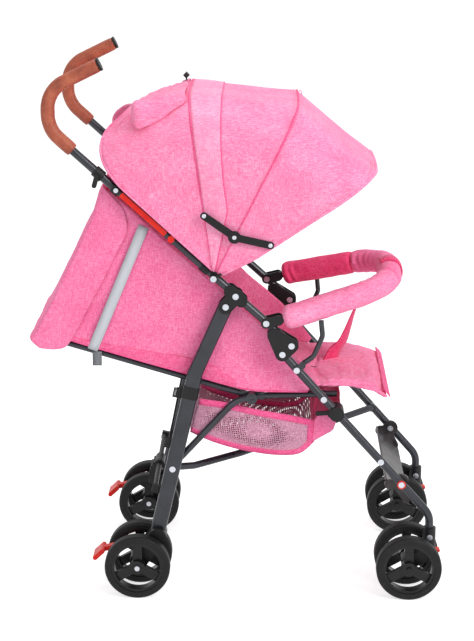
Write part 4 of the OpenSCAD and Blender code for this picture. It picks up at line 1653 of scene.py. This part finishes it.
@dataclass
class BumperBar:
    """The padded bar in front of the child: a sewn sleeve in three lengths, and the crotch strap."""

    shop: Workshop
    pivot: Point2 = (249.55, 549.08)
    tilt: float = 14.0
    reach: float = 250.0
    front: float = 230.0
    bracket: float = 175.0
    bend: float = 105.0
    pad: float = 23.4
    step: float = 4.0
    pinch: float = 2.6
    end_round: float = 13.0

    def at(self, u: float, y: float, rise: float = 0.0) -> Vector:
        """Places a point given on the bar's plane.

        Args:
            u: forwards from the bracket rivets, along the bar.
            y: to the stroller's left.
            rise: above the bar's plane.

        Returns:
            The point in metres.
        """
        a = math.radians(self.tilt)
        x = self.pivot[0] + u * math.cos(a) - rise * math.sin(a)
        return place(x, y, self.pivot[1] + u * math.sin(a) + rise * math.cos(a))

    def route(self) -> list[Point2]:
        """The bar's middle line on its plane, from the right bracket round to the left.

        Returns:
            Distance from the brackets and Y of each point.
        """
        half = self.front / 2
        corners = [(34.0, -self.bracket), (56.0, -self.bracket), (self.reach, -half)]
        corners += [(self.reach, half), (56.0, self.bracket), (34.0, self.bracket)]
        return rounded(corners, self.bend, self.step)

    def rounding(self, run: float) -> float:
        """How full the sleeve is at a distance from its open end, from 0 at the end to 1."""
        return math.sqrt(max(0.0, 1 - (1 - min(1.0, run / self.end_round)) ** 2))

    def turning(self, path: Sequence[Point2], i: int) -> float:
        """How sharply the bar bends at a point.

        Args:
            path: the bar's middle line.
            i: which point.

        Returns:
            From 0, straight, to 1, as in its corners.
        """
        low, high = max(i - 3, 0), min(i + 3, len(path) - 1)
        if i in (low, high):
            return 0.0
        before = Vector((path[i][0] - path[low][0], path[i][1] - path[low][1]))
        after = Vector((path[high][0] - path[i][0], path[high][1] - path[i][1]))
        return min(1.0, before.angle(after) / 0.11)

    def build(self) -> None:
        """Builds the sleeve's three lengths and the strap."""
        path = self.route()
        count = len(path)
        first = next(i for i, (u, v) in enumerate(path) if u > 180 and v > -74)
        second = next(i for i, (u, v) in enumerate(path) if v > 100 and u < 186)
        # The three lengths take the lit, plain and deep copies of one cloth: painted light near, painted
        # shade far.
        self.sleeve("bumper_sleeve_near", path, 0, first, PINK_LIT, True, False)
        self.sleeve("bumper_sleeve_front", path, first, second, PINK, False, False)
        self.sleeve("bumper_sleeve_far", path, second, count - 1, SHADED, False, True)
        self.strap()

    def sleeve(
        self,
        name: str,
        path: Sequence[Point2],
        start: int,
        stop: int,
        finish: object,
        open_a: bool,
        open_b: bool,
    ) -> None:
        """Builds one length of the sleeve, gathered where it is sewn to the next one.

        Args:
            name: the piece's name.
            path: the bar's middle line on its plane.
            start: first point of this length.
            stop: last point of this length.
            finish: its finish.
            open_a: whether it starts at a bracket.
            open_b: whether it ends at a bracket.
        """
        rows = []
        last = len(path) - 1
        for i in range(start, stop + 1):
            (ua, va), (ub, vb) = path[max(i - 1, 0)], path[min(i + 1, last)]
            tangent = Vector((ub - ua, vb - va)).normalized()
            out = Vector((tangent.y, -tangent.x))
            bent = self.turning(path, i)
            from_a, from_b = (i - start) * self.step, (stop - i) * self.step
            pinch = 0.0 if open_a else self.pinch * math.exp(-((from_a / 4) ** 2))
            pinch += 0.0 if open_b else self.pinch * math.exp(-((from_b / 4) ** 2))
            round_a = self.rounding(from_a) if open_a else 1.0
            round_b = self.rounding(from_b) if open_b else 1.0
            ends = 0.52 + 0.48 * min(round_a, round_b)
            ring = []
            for k in range(40):
                a = 2 * math.pi * k / 40
                inner = max(0.0, -math.cos(a))
                fold = 1.9 * inner * bent * math.sin(i * 1.25 + 1.2 * math.sin(a * 2))
                gather = 0.5 * math.sin(a * 13 + i) * (math.exp(-from_a / 9) + math.exp(-from_b / 9))
                soft = 0.9 * noise.noise(Vector((i / 5, math.cos(a) * 1.4, math.sin(a) * 1.4 + start)))
                r = (self.pad - pinch) * ends + fold + gather + soft
                across, rise = math.cos(a) * r, math.sin(a) * r
                ring.append(self.at(path[i][0] + out.x * across, path[i][1] + out.y * across, rise))
            rows.append(ring)
        obj = grid_object(name, rows, wrap_cols=True, caps=True)
        subdivide(obj, 1)
        ruffle(obj, 1.2, (34, 34, 20), 2.0 + start, 0.5)
        self.shop.finish(obj, finish, "heather_cloth", "frame")
        if open_a:
            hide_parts("bumper_pad")

    def strap(self) -> None:
        """The strap from the seat up to the bar's front, where it loops round the sleeve."""
        line = [(376, 419), (381, 428), (388, 444), (402, 461)]
        line += [(413, 490), (423, 521), (436, 552), (455, 578)]
        tilt = math.radians(self.tilt)
        cx = self.pivot[0] + self.reach * math.cos(tilt)
        cz = self.pivot[1] + self.reach * math.sin(tilt)
        for k in range(15):
            a = math.radians(-118 + 18 * k)
            line.append((cx + 25.4 * math.cos(a), cz + 25.4 * math.sin(a)))
        dense = smooth_curve(line, 4)
        path = [place(x, 1.5 * math.sin(i / 9), z) for i, (x, z) in enumerate(dense)]
        across = []
        for i, p in enumerate(path):
            t = heading(path, i)
            fade = max(0.0, 1 - i / 34)
            twist = math.radians(52 * fade**1.2 + 9 * math.sin(i / 4.5) * fade)
            across.append(Vector((0, 1, 0)) * math.cos(twist) + Vector((t.z, 0, -t.x)) * math.sin(twist))
        band = tape("crotch_strap_band", path, across, 38.0, 2.4, 0.8)
        self.shop.finish(band, STRAP, "strap_cloth", None, ["crotch_strap"])
        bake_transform(band)
        for side in (Side.RIGHT, Side.LEFT):
            edge = [p + w.normalized() * side.value * 15.5 * MM for p, w in zip(path, across)]
            normals = []
            for i, w in enumerate(across):
                t = heading(path, i)
                normals.append(w.normalized().cross(t))
            seam = stitches(f"crotch_strap_stitches_{side.name.lower()}", edge, normals, 5.0, 3.4, 1.9)
            self.shop.finish(seam, THREAD, "strap_cloth", None)
            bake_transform(seam)


# ---- seat and back ----


@dataclass
class Cushion:
    """A flat sewn pad whose middle line is drawn from the side."""

    line: Sequence[Point2]
    half: float
    thick: float
    crown: float = 2.5
    steps: int = 5

    def mesh(self, name: str) -> Thing:
        """Builds the closed pad, slightly thinner than it will be once it is filled.

        Args:
            name: the pad's name.

        Returns:
            The pad.
        """
        dense = smooth_curve(self.line, self.steps)
        run = [0.0]
        for (xa, za), (xb, zb) in zip(dense, dense[1:]):
            run.append(run[-1] + math.hypot(xb - xa, zb - za))
        rows = []
        for i, (x, z) in enumerate(dense):
            nx, nz = square_to(dense, i)
            edge = min(run[i], run[-1] - run[i])
            taper = 0.35 + 0.65 * math.sqrt(max(0.0, 1 - (1 - min(1.0, edge / 9)) ** 2))
            ring = []
            for k in range(64):
                a = 2 * math.pi * k / 64
                c, s = math.cos(a), math.sin(a)
                y = self.half * math.copysign(abs(c) ** 0.28, c)
                h = self.thick / 2 * taper * math.copysign(abs(s) ** 0.6, s)
                if s > 0:
                    h += self.crown * taper * (1 - (y / self.half) ** 2)
                ring.append(place(x + nx * h, y, z + nz * h))
            rows.append(ring)
        return grid_object(name, rows, wrap_cols=True, caps=True)


def sew(obj: Thing, distance: Callable[[Vector], float], depth: float, width: float) -> None:
    """Pulls a pad in along a seam.

    Args:
        obj: the pad.
        distance: gives a point's distance from the seam in millimetres.
        depth: how deep the seam pulls, in millimetres.
        width: how wide the pull is felt, in millimetres.
    """
    moves = [(v, v.normal.copy(), distance(v.co)) for v in obj.data.vertices]
    for v, normal, far in moves:
        v.co -= normal * depth * MM * math.exp(-((far / width) ** 2))


@dataclass
class Seat:
    """The seat pad with its bound front edge, and the quilted back pad."""

    shop: Workshop
    half: float = 150.5
    knuckle: Point2 = (221.99, 392.49)
    tilt: float = 16.5
    back_start: float = 42.0
    back_end: float = 426.0
    back_rise: float = 17.5
    channel: float = 64.0

    def build(self) -> None:
        """Builds the seat, its trimmings and the back."""
        self.seat_pad()
        self.trimmings()
        self.back_pad()

    def top_line(self) -> list[Point2]:
        """The middle line of the seat pad from the side."""
        line = [(229, 412.5), (262, 413.5), (300, 414.5), (340, 415.5), (380, 415.5)]
        return line + [(412, 414), (436, 410), (458, 404), (474, 397), (487, 389.5)]

    def seat_pad(self) -> None:
        """The seat pad: two long borders, a seam across and soft folds where a child has sat."""
        pad = Cushion(self.top_line(), self.half, 10.0).mesh("seat_pad_cloth")
        pad = pressed(pad, 5.0, 3.5)
        sew(pad, lambda p: abs(abs(p.y / MM) - 136), 1.6, 3.0)
        sew(pad, lambda p: abs(p.x / MM - REAR_AXLE_X - 352 - 6 * math.sin(p.y / MM / 40)), 1.6, 4.0)
        sew(pad, lambda p: abs(p.x / MM - REAR_AXLE_X - 318 - abs(p.y / MM) * 0.35), 1.8, 5.0)
        ruffle(pad, 3.8, (60, 90, 60), 6.3, 0.6)
        ruffle(pad, 1.4, (16, 44, 20), 1.3, 0.6)
        self.shop.finish(pad, PINK_LIT, "heather_cloth", "seat", ["seat_pad"])

    def trimmings(self) -> None:
        """The binding along the front edge, the strap's stitched patch and the belt slot, a dark roll of
        painted shadow.
        """
        path = [place(484.2, -147 + 294 * i / 30, 400.2 + 0.5 * math.sin(i * 1.1)) for i in range(31)]
        slope, up = Vector((0.62, 0.0, -0.78)), Vector((0.78, 0.0, 0.62))
        across = [slope] * len(path)
        bind = tape("seat_front_binding", path, across, 20.0, 2.0, 1.4)
        self.shop.finish(bind, BINDING, "heather_cloth", "seat")
        for shift in (-7.5, 7.5):
            row = [p + slope * shift * MM for p in path]
            name = "seat_binding_stitches_" + ("rear" if shift < 0 else "front")
            self.shop.thread(name, row, [up] * len(row), "seat", 1.4)
        patch = [place(354 + 26 * i / 8, 0, 424.3) for i in range(9)]
        square = tape("strap_patch", patch, [Vector((0, -1, 0))] * 9, 44.0, 2.6, 1.0)
        self.shop.finish(square, PINK, "heather_cloth", "seat")
        box = [(357, -18), (357, 18), (377, 18), (377, -18), (357, -18)]
        row = [place(x, y, 426.0) for x, y in resample(box, 80)]
        self.shop.thread("strap_patch_stitches", row, [Vector((0, 0, 1))] * len(row), "seat", 0.6)
        # The slot is a dark roll on the pad: painted shadow of the opening.
        slot = [place(331 + 21 * i / 10, -52 - 4 * math.sin(math.pi * i / 10), 423.6) for i in range(11)]
        radii = [2.6 * math.sin(math.pi * (0.08 + 0.84 * i / 10)) for i in range(11)]
        self.shop.finish(tube("belt_slot", slot, radii, 10), SLOT_SHADOW, "heather_cloth", "seat")

    def back_pad(self) -> None:
        """The back pad, quilted across in channels, with a seam along each border."""
        a = math.radians(self.tilt)
        line = []
        for i in range(12):
            u = self.back_start + (self.back_end - self.back_start) * i / 11
            x = self.knuckle[0] - u * math.cos(a) + self.back_rise * math.sin(a)
            line.append((x, self.knuckle[1] + u * math.sin(a) + self.back_rise * math.cos(a)))
        pad = Cushion(line, 149.0, 17.0, 3.5, 3).mesh("back_pad_cloth")
        pad = pressed(pad, 6.0, 4.0)

        def along(p: Vector) -> float:
            """Distance from the nearest quilting line.

            Args:
                p: the point in metres.

            Returns:
                The distance in millimetres.
            """
            back, up = self.knuckle[0] - p.x / MM + REAR_AXLE_X, p.z / MM - self.knuckle[1]
            u = back * math.cos(a) + up * math.sin(a)
            half = self.channel / 2
            return abs((u - self.back_start + half) % self.channel - half)

        sew(pad, along, 3.2, 5.0)
        sew(pad, lambda p: abs(abs(p.y / MM) - 128), 2.0, 4.0)
        ruffle(pad, 1.6, (40, 60, 40), 4.4, 0.4)
        self.shop.finish(pad, LINING, "heather_cloth", "backrest", ["back_pad"])


# ---- basket ----


@dataclass
class Basket:
    """The bag under the seat: mesh sides bound with tape, and a cloth floor, ends and front pocket."""

    shop: Workshop
    half: float = 151.5

    def top(self) -> list[Point2]:
        """The bound top edge from the side, from the back forwards."""
        return [(121, 388), (168, 380.5), (217, 369.6), (267, 359.7), (312, 351), (343, 345)]

    def low(self) -> list[Point2]:
        """The bottom edge from the side, from the back forwards."""
        return [(103, 321), (138, 304.5), (178, 291), (217, 282), (268, 275), (313, 277.5), (340, 301)]

    def build(self) -> None:
        """Builds the walls, the floor, the back, the pocket and the apron, and binds the walls' top, bottom
        and front edges.
        """
        for side in Side:
            self.wall(side)
            self.pocket_gusset(side)
        self.crosswise("basket_floor", self.low(), 13.0, MESH, ["basket"])
        self.crosswise("basket_back", [(103, 321), (108, 345), (115, 368), (121, 386)], -5.0, MESH, [])
        pocket = [(340, 301), (357, 312), (378.5, 324.6), (385, 341), (392, 362), (394.5, 374)]
        self.crosswise("basket_front_pocket", pocket, 3.0, PINK, [])
        # The apron takes the strap's deep pink as painted shade, since it hangs in shade under the seat.
        apron = [(343, 347), (346, 362), (349, 378), (352, 395)]
        self.crosswise("basket_apron", apron, -3.0, STRAP, [], 118)

    def wall(self, side: Side) -> None:
        """One mesh side with its binding.

        Args:
            side: left or right.
        """
        top = resample(smooth_curve(self.top(), 6), 44)
        low = resample(smooth_curve(self.low(), 6), 44)
        rows = []
        for a, b in zip(top, low):
            row = []
            for j in range(13):
                t = j / 12
                x, z = between(a, b, t)
                bulge = 5 * math.sin(math.pi * t) * math.sin(math.pi * min(1, max(0, (x - 100) / 245)))
                wave = 1.2 * math.sin(x / 17) * (1 - t)
                row.append(place(x, side.value * (self.half + bulge + wave), z))
            rows.append(row)
        name = side.name.lower()
        wall = grid_object(f"basket_side_{name}", rows)
        subdivide(wall, 1)
        thicken(wall, 0.8)
        self.shop.finish(wall, MESH, "mesh_cloth", "frame")
        for label, column, width in (("top", 0, 13.0), ("bottom", 12, 11.0)):
            edge = [row[column] for row in rows]
            other = [row[1 if column == 0 else 11] for row in rows]
            across = [(q - p).normalized() for p, q in zip(edge, other)]
            inward = [p + w * (width / 2 - 1) * MM for p, w in zip(edge, across)]
            bind = tape(f"basket_{label}_binding_{name}", inward, across, width, 2.6, 0.6)
            self.shop.finish(bind, BINDING, "heather_cloth", "frame")
            seam = [p + w * (width - 2.2) * MM for p, w in zip(edge, across)]
            out = [Vector((0, side.value, 0))] * len(seam)
            self.shop.thread(f"basket_{label}_stitches_{name}", seam, out, "frame", 1.8)
        last = rows[-1]
        path = [last[j] - Vector((5 * MM, 0, 0)) for j in range(13)]
        bind = tape(f"basket_front_binding_{name}", path, [Vector((1, 0, 0.2))] * 13, 12.0, 2.8, 0.6)
        self.shop.finish(bind, BINDING, "heather_cloth", "frame")

    def crosswise(
        self,
        name: str,
        line: Sequence[Point2],
        sag: float,
        finish: object,
        replaces: Sequence[str],
        half: float | None = None,
    ) -> None:
        """A sheet that spans from side to side along a line drawn from the side.

        Args:
            name: the piece's name.
            line: the line.
            sag: how far its middle hangs out, in millimetres.
            finish: its finish.
            replaces: the CAD nodes it stands for.
            half: half its width, or None for the basket's own.
        """
        dense = smooth_curve(line, 4)
        width = half or self.half
        rows = []
        for i, (x, z) in enumerate(dense):
            nx, nz = square_to(dense, i)
            ends = math.sin(math.pi * (0.12 + 0.76 * i / (len(dense) - 1)))
            row = []
            for j in range(25):
                y = -width + 2 * width * j / 24
                wave = 1.2 * math.sin(y / 19 + x / 23) * (1 - abs(y) / width)
                d = sag * (1 - (y / width) ** 2) * ends + wave
                row.append(place(x - nx * d, y, z - nz * d))
            rows.append(row)
        sheet = cloth_sheet(rows, name, 1, 1.4)
        ruffle(sheet, 1.6, (30, 50, 30), 9.0, 0.4)
        slot = "mesh_cloth" if finish is MESH else "heather_cloth"
        self.shop.finish(sheet, finish, slot, "frame", replaces)

    def pocket_gusset(self, side: Side) -> None:
        """The side of the front pocket.

        Args:
            side: left or right.
        """
        pocket = [(340, 301), (357, 312), (378.5, 324.6), (385, 341), (392, 362)]
        front = resample(smooth_curve(pocket, 5), 16)
        back = resample([(340, 302), (341, 315), (342, 330), (343, 345), (352, 356)], 16)
        rows = []
        for i, (a, b) in enumerate(zip(back, front)):
            row = []
            for j in range(9):
                t = j / 8
                puff = 4.5 * math.sin(math.pi * t) * math.sin(math.pi * i / 15)
                x, z = between(a, b, t)
                row.append(place(x, side.value * (self.half + puff), z))
            rows.append(row)
        name = f"basket_gusset_{side.name.lower()}"
        gusset = cloth_sheet(rows, name, 1, 1.4)
        ruffle(gusset, 1.2, (20, 20, 26), 3.0, 0.4)
        self.shop.finish(gusset, PINK, "heather_cloth", "frame")


# ---- hand grips ----


@dataclass
class Grips:
    """Leatherette hand grips over foam, lapped and stitched along their inner side."""

    shop: Workshop
    half: float = 175.0
    size: float = 12.7
    fold: Point2 = (298.0, 505.0)
    tilt: float = 42.3
    start: float = 555.0
    knee_run: float = 615.0
    rise: float = 72.0
    tip_tilt: float = 26.0
    tip_run: float = 106.0
    bend: float = 60.0
    step: float = 3.0

    def line(self) -> list[Point2]:
        """The middle line of a handle's upper end, from the side.

        Returns:
            X and Z of its points.
        """
        a, tip = math.radians(self.tilt), math.radians(self.tip_tilt)
        low, knee = (
            (self.fold[0] - run * math.cos(a), self.fold[1] + run * math.sin(a))
            for run in (self.start, self.knee_run)
        )
        top = (knee[0], knee[1] + self.rise)
        end = (top[0] + self.tip_run * math.cos(tip), top[1] + self.tip_run * math.sin(tip))
        return rounded([low, knee, top, end], self.bend, self.step)

    def build(self) -> None:
        """Builds both grips."""
        for side in Side:
            self.grip(side)

    def grip(self, side: Side) -> None:
        """One grip with its lapped seam and thread.

        Args:
            side: left or right.
        """
        line = self.line()
        last = len(line) - 1
        name = side.name.lower()
        rows, seam, out = [], [], []
        for i, (x, z) in enumerate(line):
            nx, nz = square_to(line, i)
            edge = min(i, last - i) * self.step
            shrink = 1.6 * math.exp(-edge / 2.2)
            ring = []
            for k in range(32):
                a = 2 * math.pi * k / 32
                lap = 0.7 if 0.0 < math.cos(a - math.radians(215)) - 0.86 else 0.0
                uneven = noise.noise(Vector((i / 4, math.cos(a) * 2, math.sin(a) * 2)))
                r = self.size - shrink + lap + 0.25 * uneven
                up, across = math.cos(a) * r, math.sin(a) * r
                ring.append(place(x + nx * up, side.value * (self.half + across), z + nz * up))
            rows.append(ring)
            a = math.radians(218)
            r = self.size + 0.8
            up, across = math.cos(a) * r, math.sin(a) * r
            seam.append(place(x + nx * up, side.value * (self.half + across), z + nz * up))
            out.append(Vector((nx * math.cos(a), side.value * math.sin(a), nz * math.cos(a))))
        grip = grid_object(f"grip_cover_{name}", rows, wrap_cols=True, caps=True)
        self.shop.finish(grip, LEATHER, "grip_leatherette", "frame", [f"grip_{name}"])
        thread = stitches(f"grip_stitches_{name}", seam[2:-2], out[2:-2], 4.2, 2.9, 0.5)
        self.shop.finish(thread, GRIP_THREAD, "grip_leatherette", "frame")


# ---- small fasteners ----


@dataclass
class Fasteners:
    """Screw heads on the canopy stays and the red washers round the footrest's rivets."""

    shop: Workshop
    rear_pin: Point2 = (132.96, 761.41)
    knee: Point2 = (189.53, 721.71)
    front_pin: Point2 = (256.93, 706.37)
    foot_rivet: Point2 = (513.99, 224.38)
    foot_face: float = 183.0
    screw_size: float = 8.4
    screw_depth: float = 1.8
    washer_radius: float = 7.4

    def build(self) -> None:
        """Builds the heads and washers of both sides."""
        for side in Side:
            name = side.name.lower()
            for label, (x, z), face, body in (
                ("rear", self.rear_pin, 206.35, "stay_rear"),
                ("knee", self.knee, 211.35, "stay_front"),
                ("front", self.front_pin, 209.35, "stay_front"),
            ):
                self.screw(f"stay_screw_{label}_{name}", x, side.value * face, z, body)
            x, z = self.foot_rivet
            self.washer(f"foot_washer_{name}", x, side.value * self.foot_face, z)

    def screw(self, name: str, x: float, y: float, z: float, body: str) -> None:
        """A domed zinc screw head that faces sideways, with a cross recess.

        Args:
            name: the head's name.
            x: forwards from the rear axle.
            y: its inner face; the sign gives the side.
            z: up from the ground.
            body: the body it rides on.
        """
        out = math.copysign(1.0, y)
        rings = []
        for share, rise in ((1.0, 0.0), (1.0, 0.45), (0.86, 0.8), (0.6, 0.97), (0.34, 1.0)):
            ring = []
            for k in range(32):
                a = 2 * math.pi * k / 32
                notch = 0.42 if share < 0.7 and min(abs(math.sin(2 * a)), 1) < 0.36 else 0.0
                r = self.screw_size / 2 * share
                deep = self.screw_depth * (rise - notch)
                ring.append(place(x + r * math.cos(a), y + out * deep, z + r * math.sin(a)))
            rings.append(ring)
        head = grid_object(name, rings, wrap_cols=True, caps=True)
        self.shop.finish(head, ZINC, "zinc_steel", body)

    def washer(self, name: str, x: float, y: float, z: float) -> None:
        """A red plastic washer round a rivet head.

        Args:
            name: the washer's name.
            x: forwards from the rear axle.
            y: the tube's outer face; the sign gives the side.
            z: up from the ground.
        """
        out = math.copysign(1.0, y)
        r = self.washer_radius
        path = [
            place(x + r * math.cos(a), y + out * 1.2, z + r * math.sin(a))
            for a in (2 * math.pi * k / 36 for k in range(36))
        ]
        self.shop.finish(tube(name, path, 1.3, 10, closed=True), RED, "red_plastic", "frame")


# ---- light, floor and camera ----


@dataclass
class Studio:
    """Plain soft light, a pale floor and the camera."""

    eye: tuple[float, float, float] = (0.0643, -3.49453, 1.45953)
    pitch: float = 15.286
    yaw: float = -1.0556
    lens: float = 101.48

    def build(self) -> None:
        """Sets the stage."""
        self.camera()
        self.lights()
        self.floor()
        self.world()
        bpy.context.scene.view_settings.view_transform = "Standard"

    def camera(self) -> None:
        """Places the camera at eye height to the stroller's right."""
        pitch, yaw = math.radians(self.pitch), math.radians(self.yaw)
        ahead = Vector((math.sin(yaw) * math.cos(pitch), math.cos(yaw) * math.cos(pitch), -math.sin(pitch)))
        data = bpy.data.cameras.new("studio_camera")
        data.lens = self.lens
        data.sensor_width = 36.0
        data.sensor_fit = "AUTO"
        camera = bpy.data.objects.new("studio_camera", data)
        camera.location = self.eye
        camera.rotation_euler = ahead.to_track_quat("-Z", "Y").to_euler()
        bpy.context.scene.collection.objects.link(camera)
        bpy.context.scene.camera = camera

    def lamp(
        self, name: str, where: Sequence[float], aim: Sequence[float], size: float, power: float
    ) -> None:
        """Hangs one square soft box.

        Args:
            name: the lamp's name.
            where: its place in metres.
            aim: the point it faces.
            size: its edge in metres.
            power: in watts.
        """
        data = bpy.data.lights.new(name, "AREA")
        data.size = size
        data.energy = power
        lamp = bpy.data.objects.new(name, data)
        lamp.location = where
        lamp.rotation_euler = (Vector(aim) - Vector(where)).to_track_quat("-Z", "Y").to_euler()
        bpy.context.scene.collection.objects.link(lamp)

    def lights(self) -> None:
        """A large key box, a fill box and a top box."""
        self.lamp("key_box", (2.5, -2.3, 2.4), (0.0, 0.0, 0.5), 1.8, 74)
        self.lamp("fill_box", (-1.6, -2.8, 1.4), (0.0, 0.0, 0.5), 2.2, 16)
        self.lamp("top_box", (0.0, 0.6, 3.2), (0.0, 0.0, 0.4), 2.4, 30)

    def floor(self) -> None:
        """A wide pale floor that keeps a soft shadow."""
        material, tree = blank_material("studio_floor")
        path = add_node(tree, "ShaderNodeLightPath")
        diffuse = add_node(tree, "ShaderNodeBsdfDiffuse", {"Color": (0.82, 0.82, 0.82, 1.0)})
        glow = add_node(tree, "ShaderNodeEmission", {"Color": (1.0, 1.0, 1.0, 1.0), "Strength": 0.62})
        both = add_node(
            tree, "ShaderNodeAddShader", {0: diffuse.outputs["BSDF"], 1: glow.outputs["Emission"]}
        )
        rays = {0: path.outputs["Is Camera Ray"], 1: path.outputs["Is Glossy Ray"]}
        seen = add_node(tree, "ShaderNodeMath", rays, operation="MAXIMUM")
        mix = {"Fac": seen.outputs[0], 1: diffuse.outputs["BSDF"], 2: both.outputs["Shader"]}
        mixed = add_node(tree, "ShaderNodeMixShader", mix)
        add_node(tree, "ShaderNodeOutputMaterial", {"Surface": mixed.outputs["Shader"]})
        corners = [Vector((x, y, 0.0)) for x, y in ((-30, -30), (30, -30), (30, 30), (-30, 30))]
        floor = new_object("floor", corners, [[0, 1, 2, 3]])
        dress(floor, material)

    def world(self) -> None:
        """Even soft light all round, seen as plain white."""
        world = bpy.data.worlds.new("studio_world")
        world.use_nodes = True
        tree = world.node_tree
        tree.nodes.clear()
        path = add_node(tree, "ShaderNodeLightPath")
        rays = {0: path.outputs["Is Camera Ray"], 1: path.outputs["Is Glossy Ray"]}
        seen = add_node(tree, "ShaderNodeMath", rays, operation="MAXIMUM")
        rays = {0: seen.outputs[0], 1: path.outputs["Is Transmission Ray"]}
        more = add_node(tree, "ShaderNodeMath", rays, operation="MAXIMUM")
        inputs = {"Value": more.outputs[0], "To Min": 0.55, "To Max": 1.0}
        strength = add_node(tree, "ShaderNodeMapRange", inputs)
        inputs = {"Color": (1.0, 1.0, 1.0, 1.0), "Strength": strength.outputs["Result"]}
        background = add_node(tree, "ShaderNodeBackground", inputs)
        add_node(tree, "ShaderNodeOutputWorld", {"Surface": background.outputs["Background"]})
        bpy.context.scene.world = world


def main() -> None:
    """Builds the stage and every sub-assembly in order."""
    logging.basicConfig(level=logging.INFO, format="%(name)s: %(message)s")
    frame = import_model()
    Studio().build()
    shop = Workshop(FinishBook())
    FrameDressing(shop, frame).dress()
    Canopy(shop).build()
    SideCloths(shop).build()
    Seat(shop).build()
    BumperBar(shop).build()
    Basket(shop).build()
    Grips(shop).build()
    Fasteners(shop).build()
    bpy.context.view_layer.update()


if __name__ == "__main__":
    main()
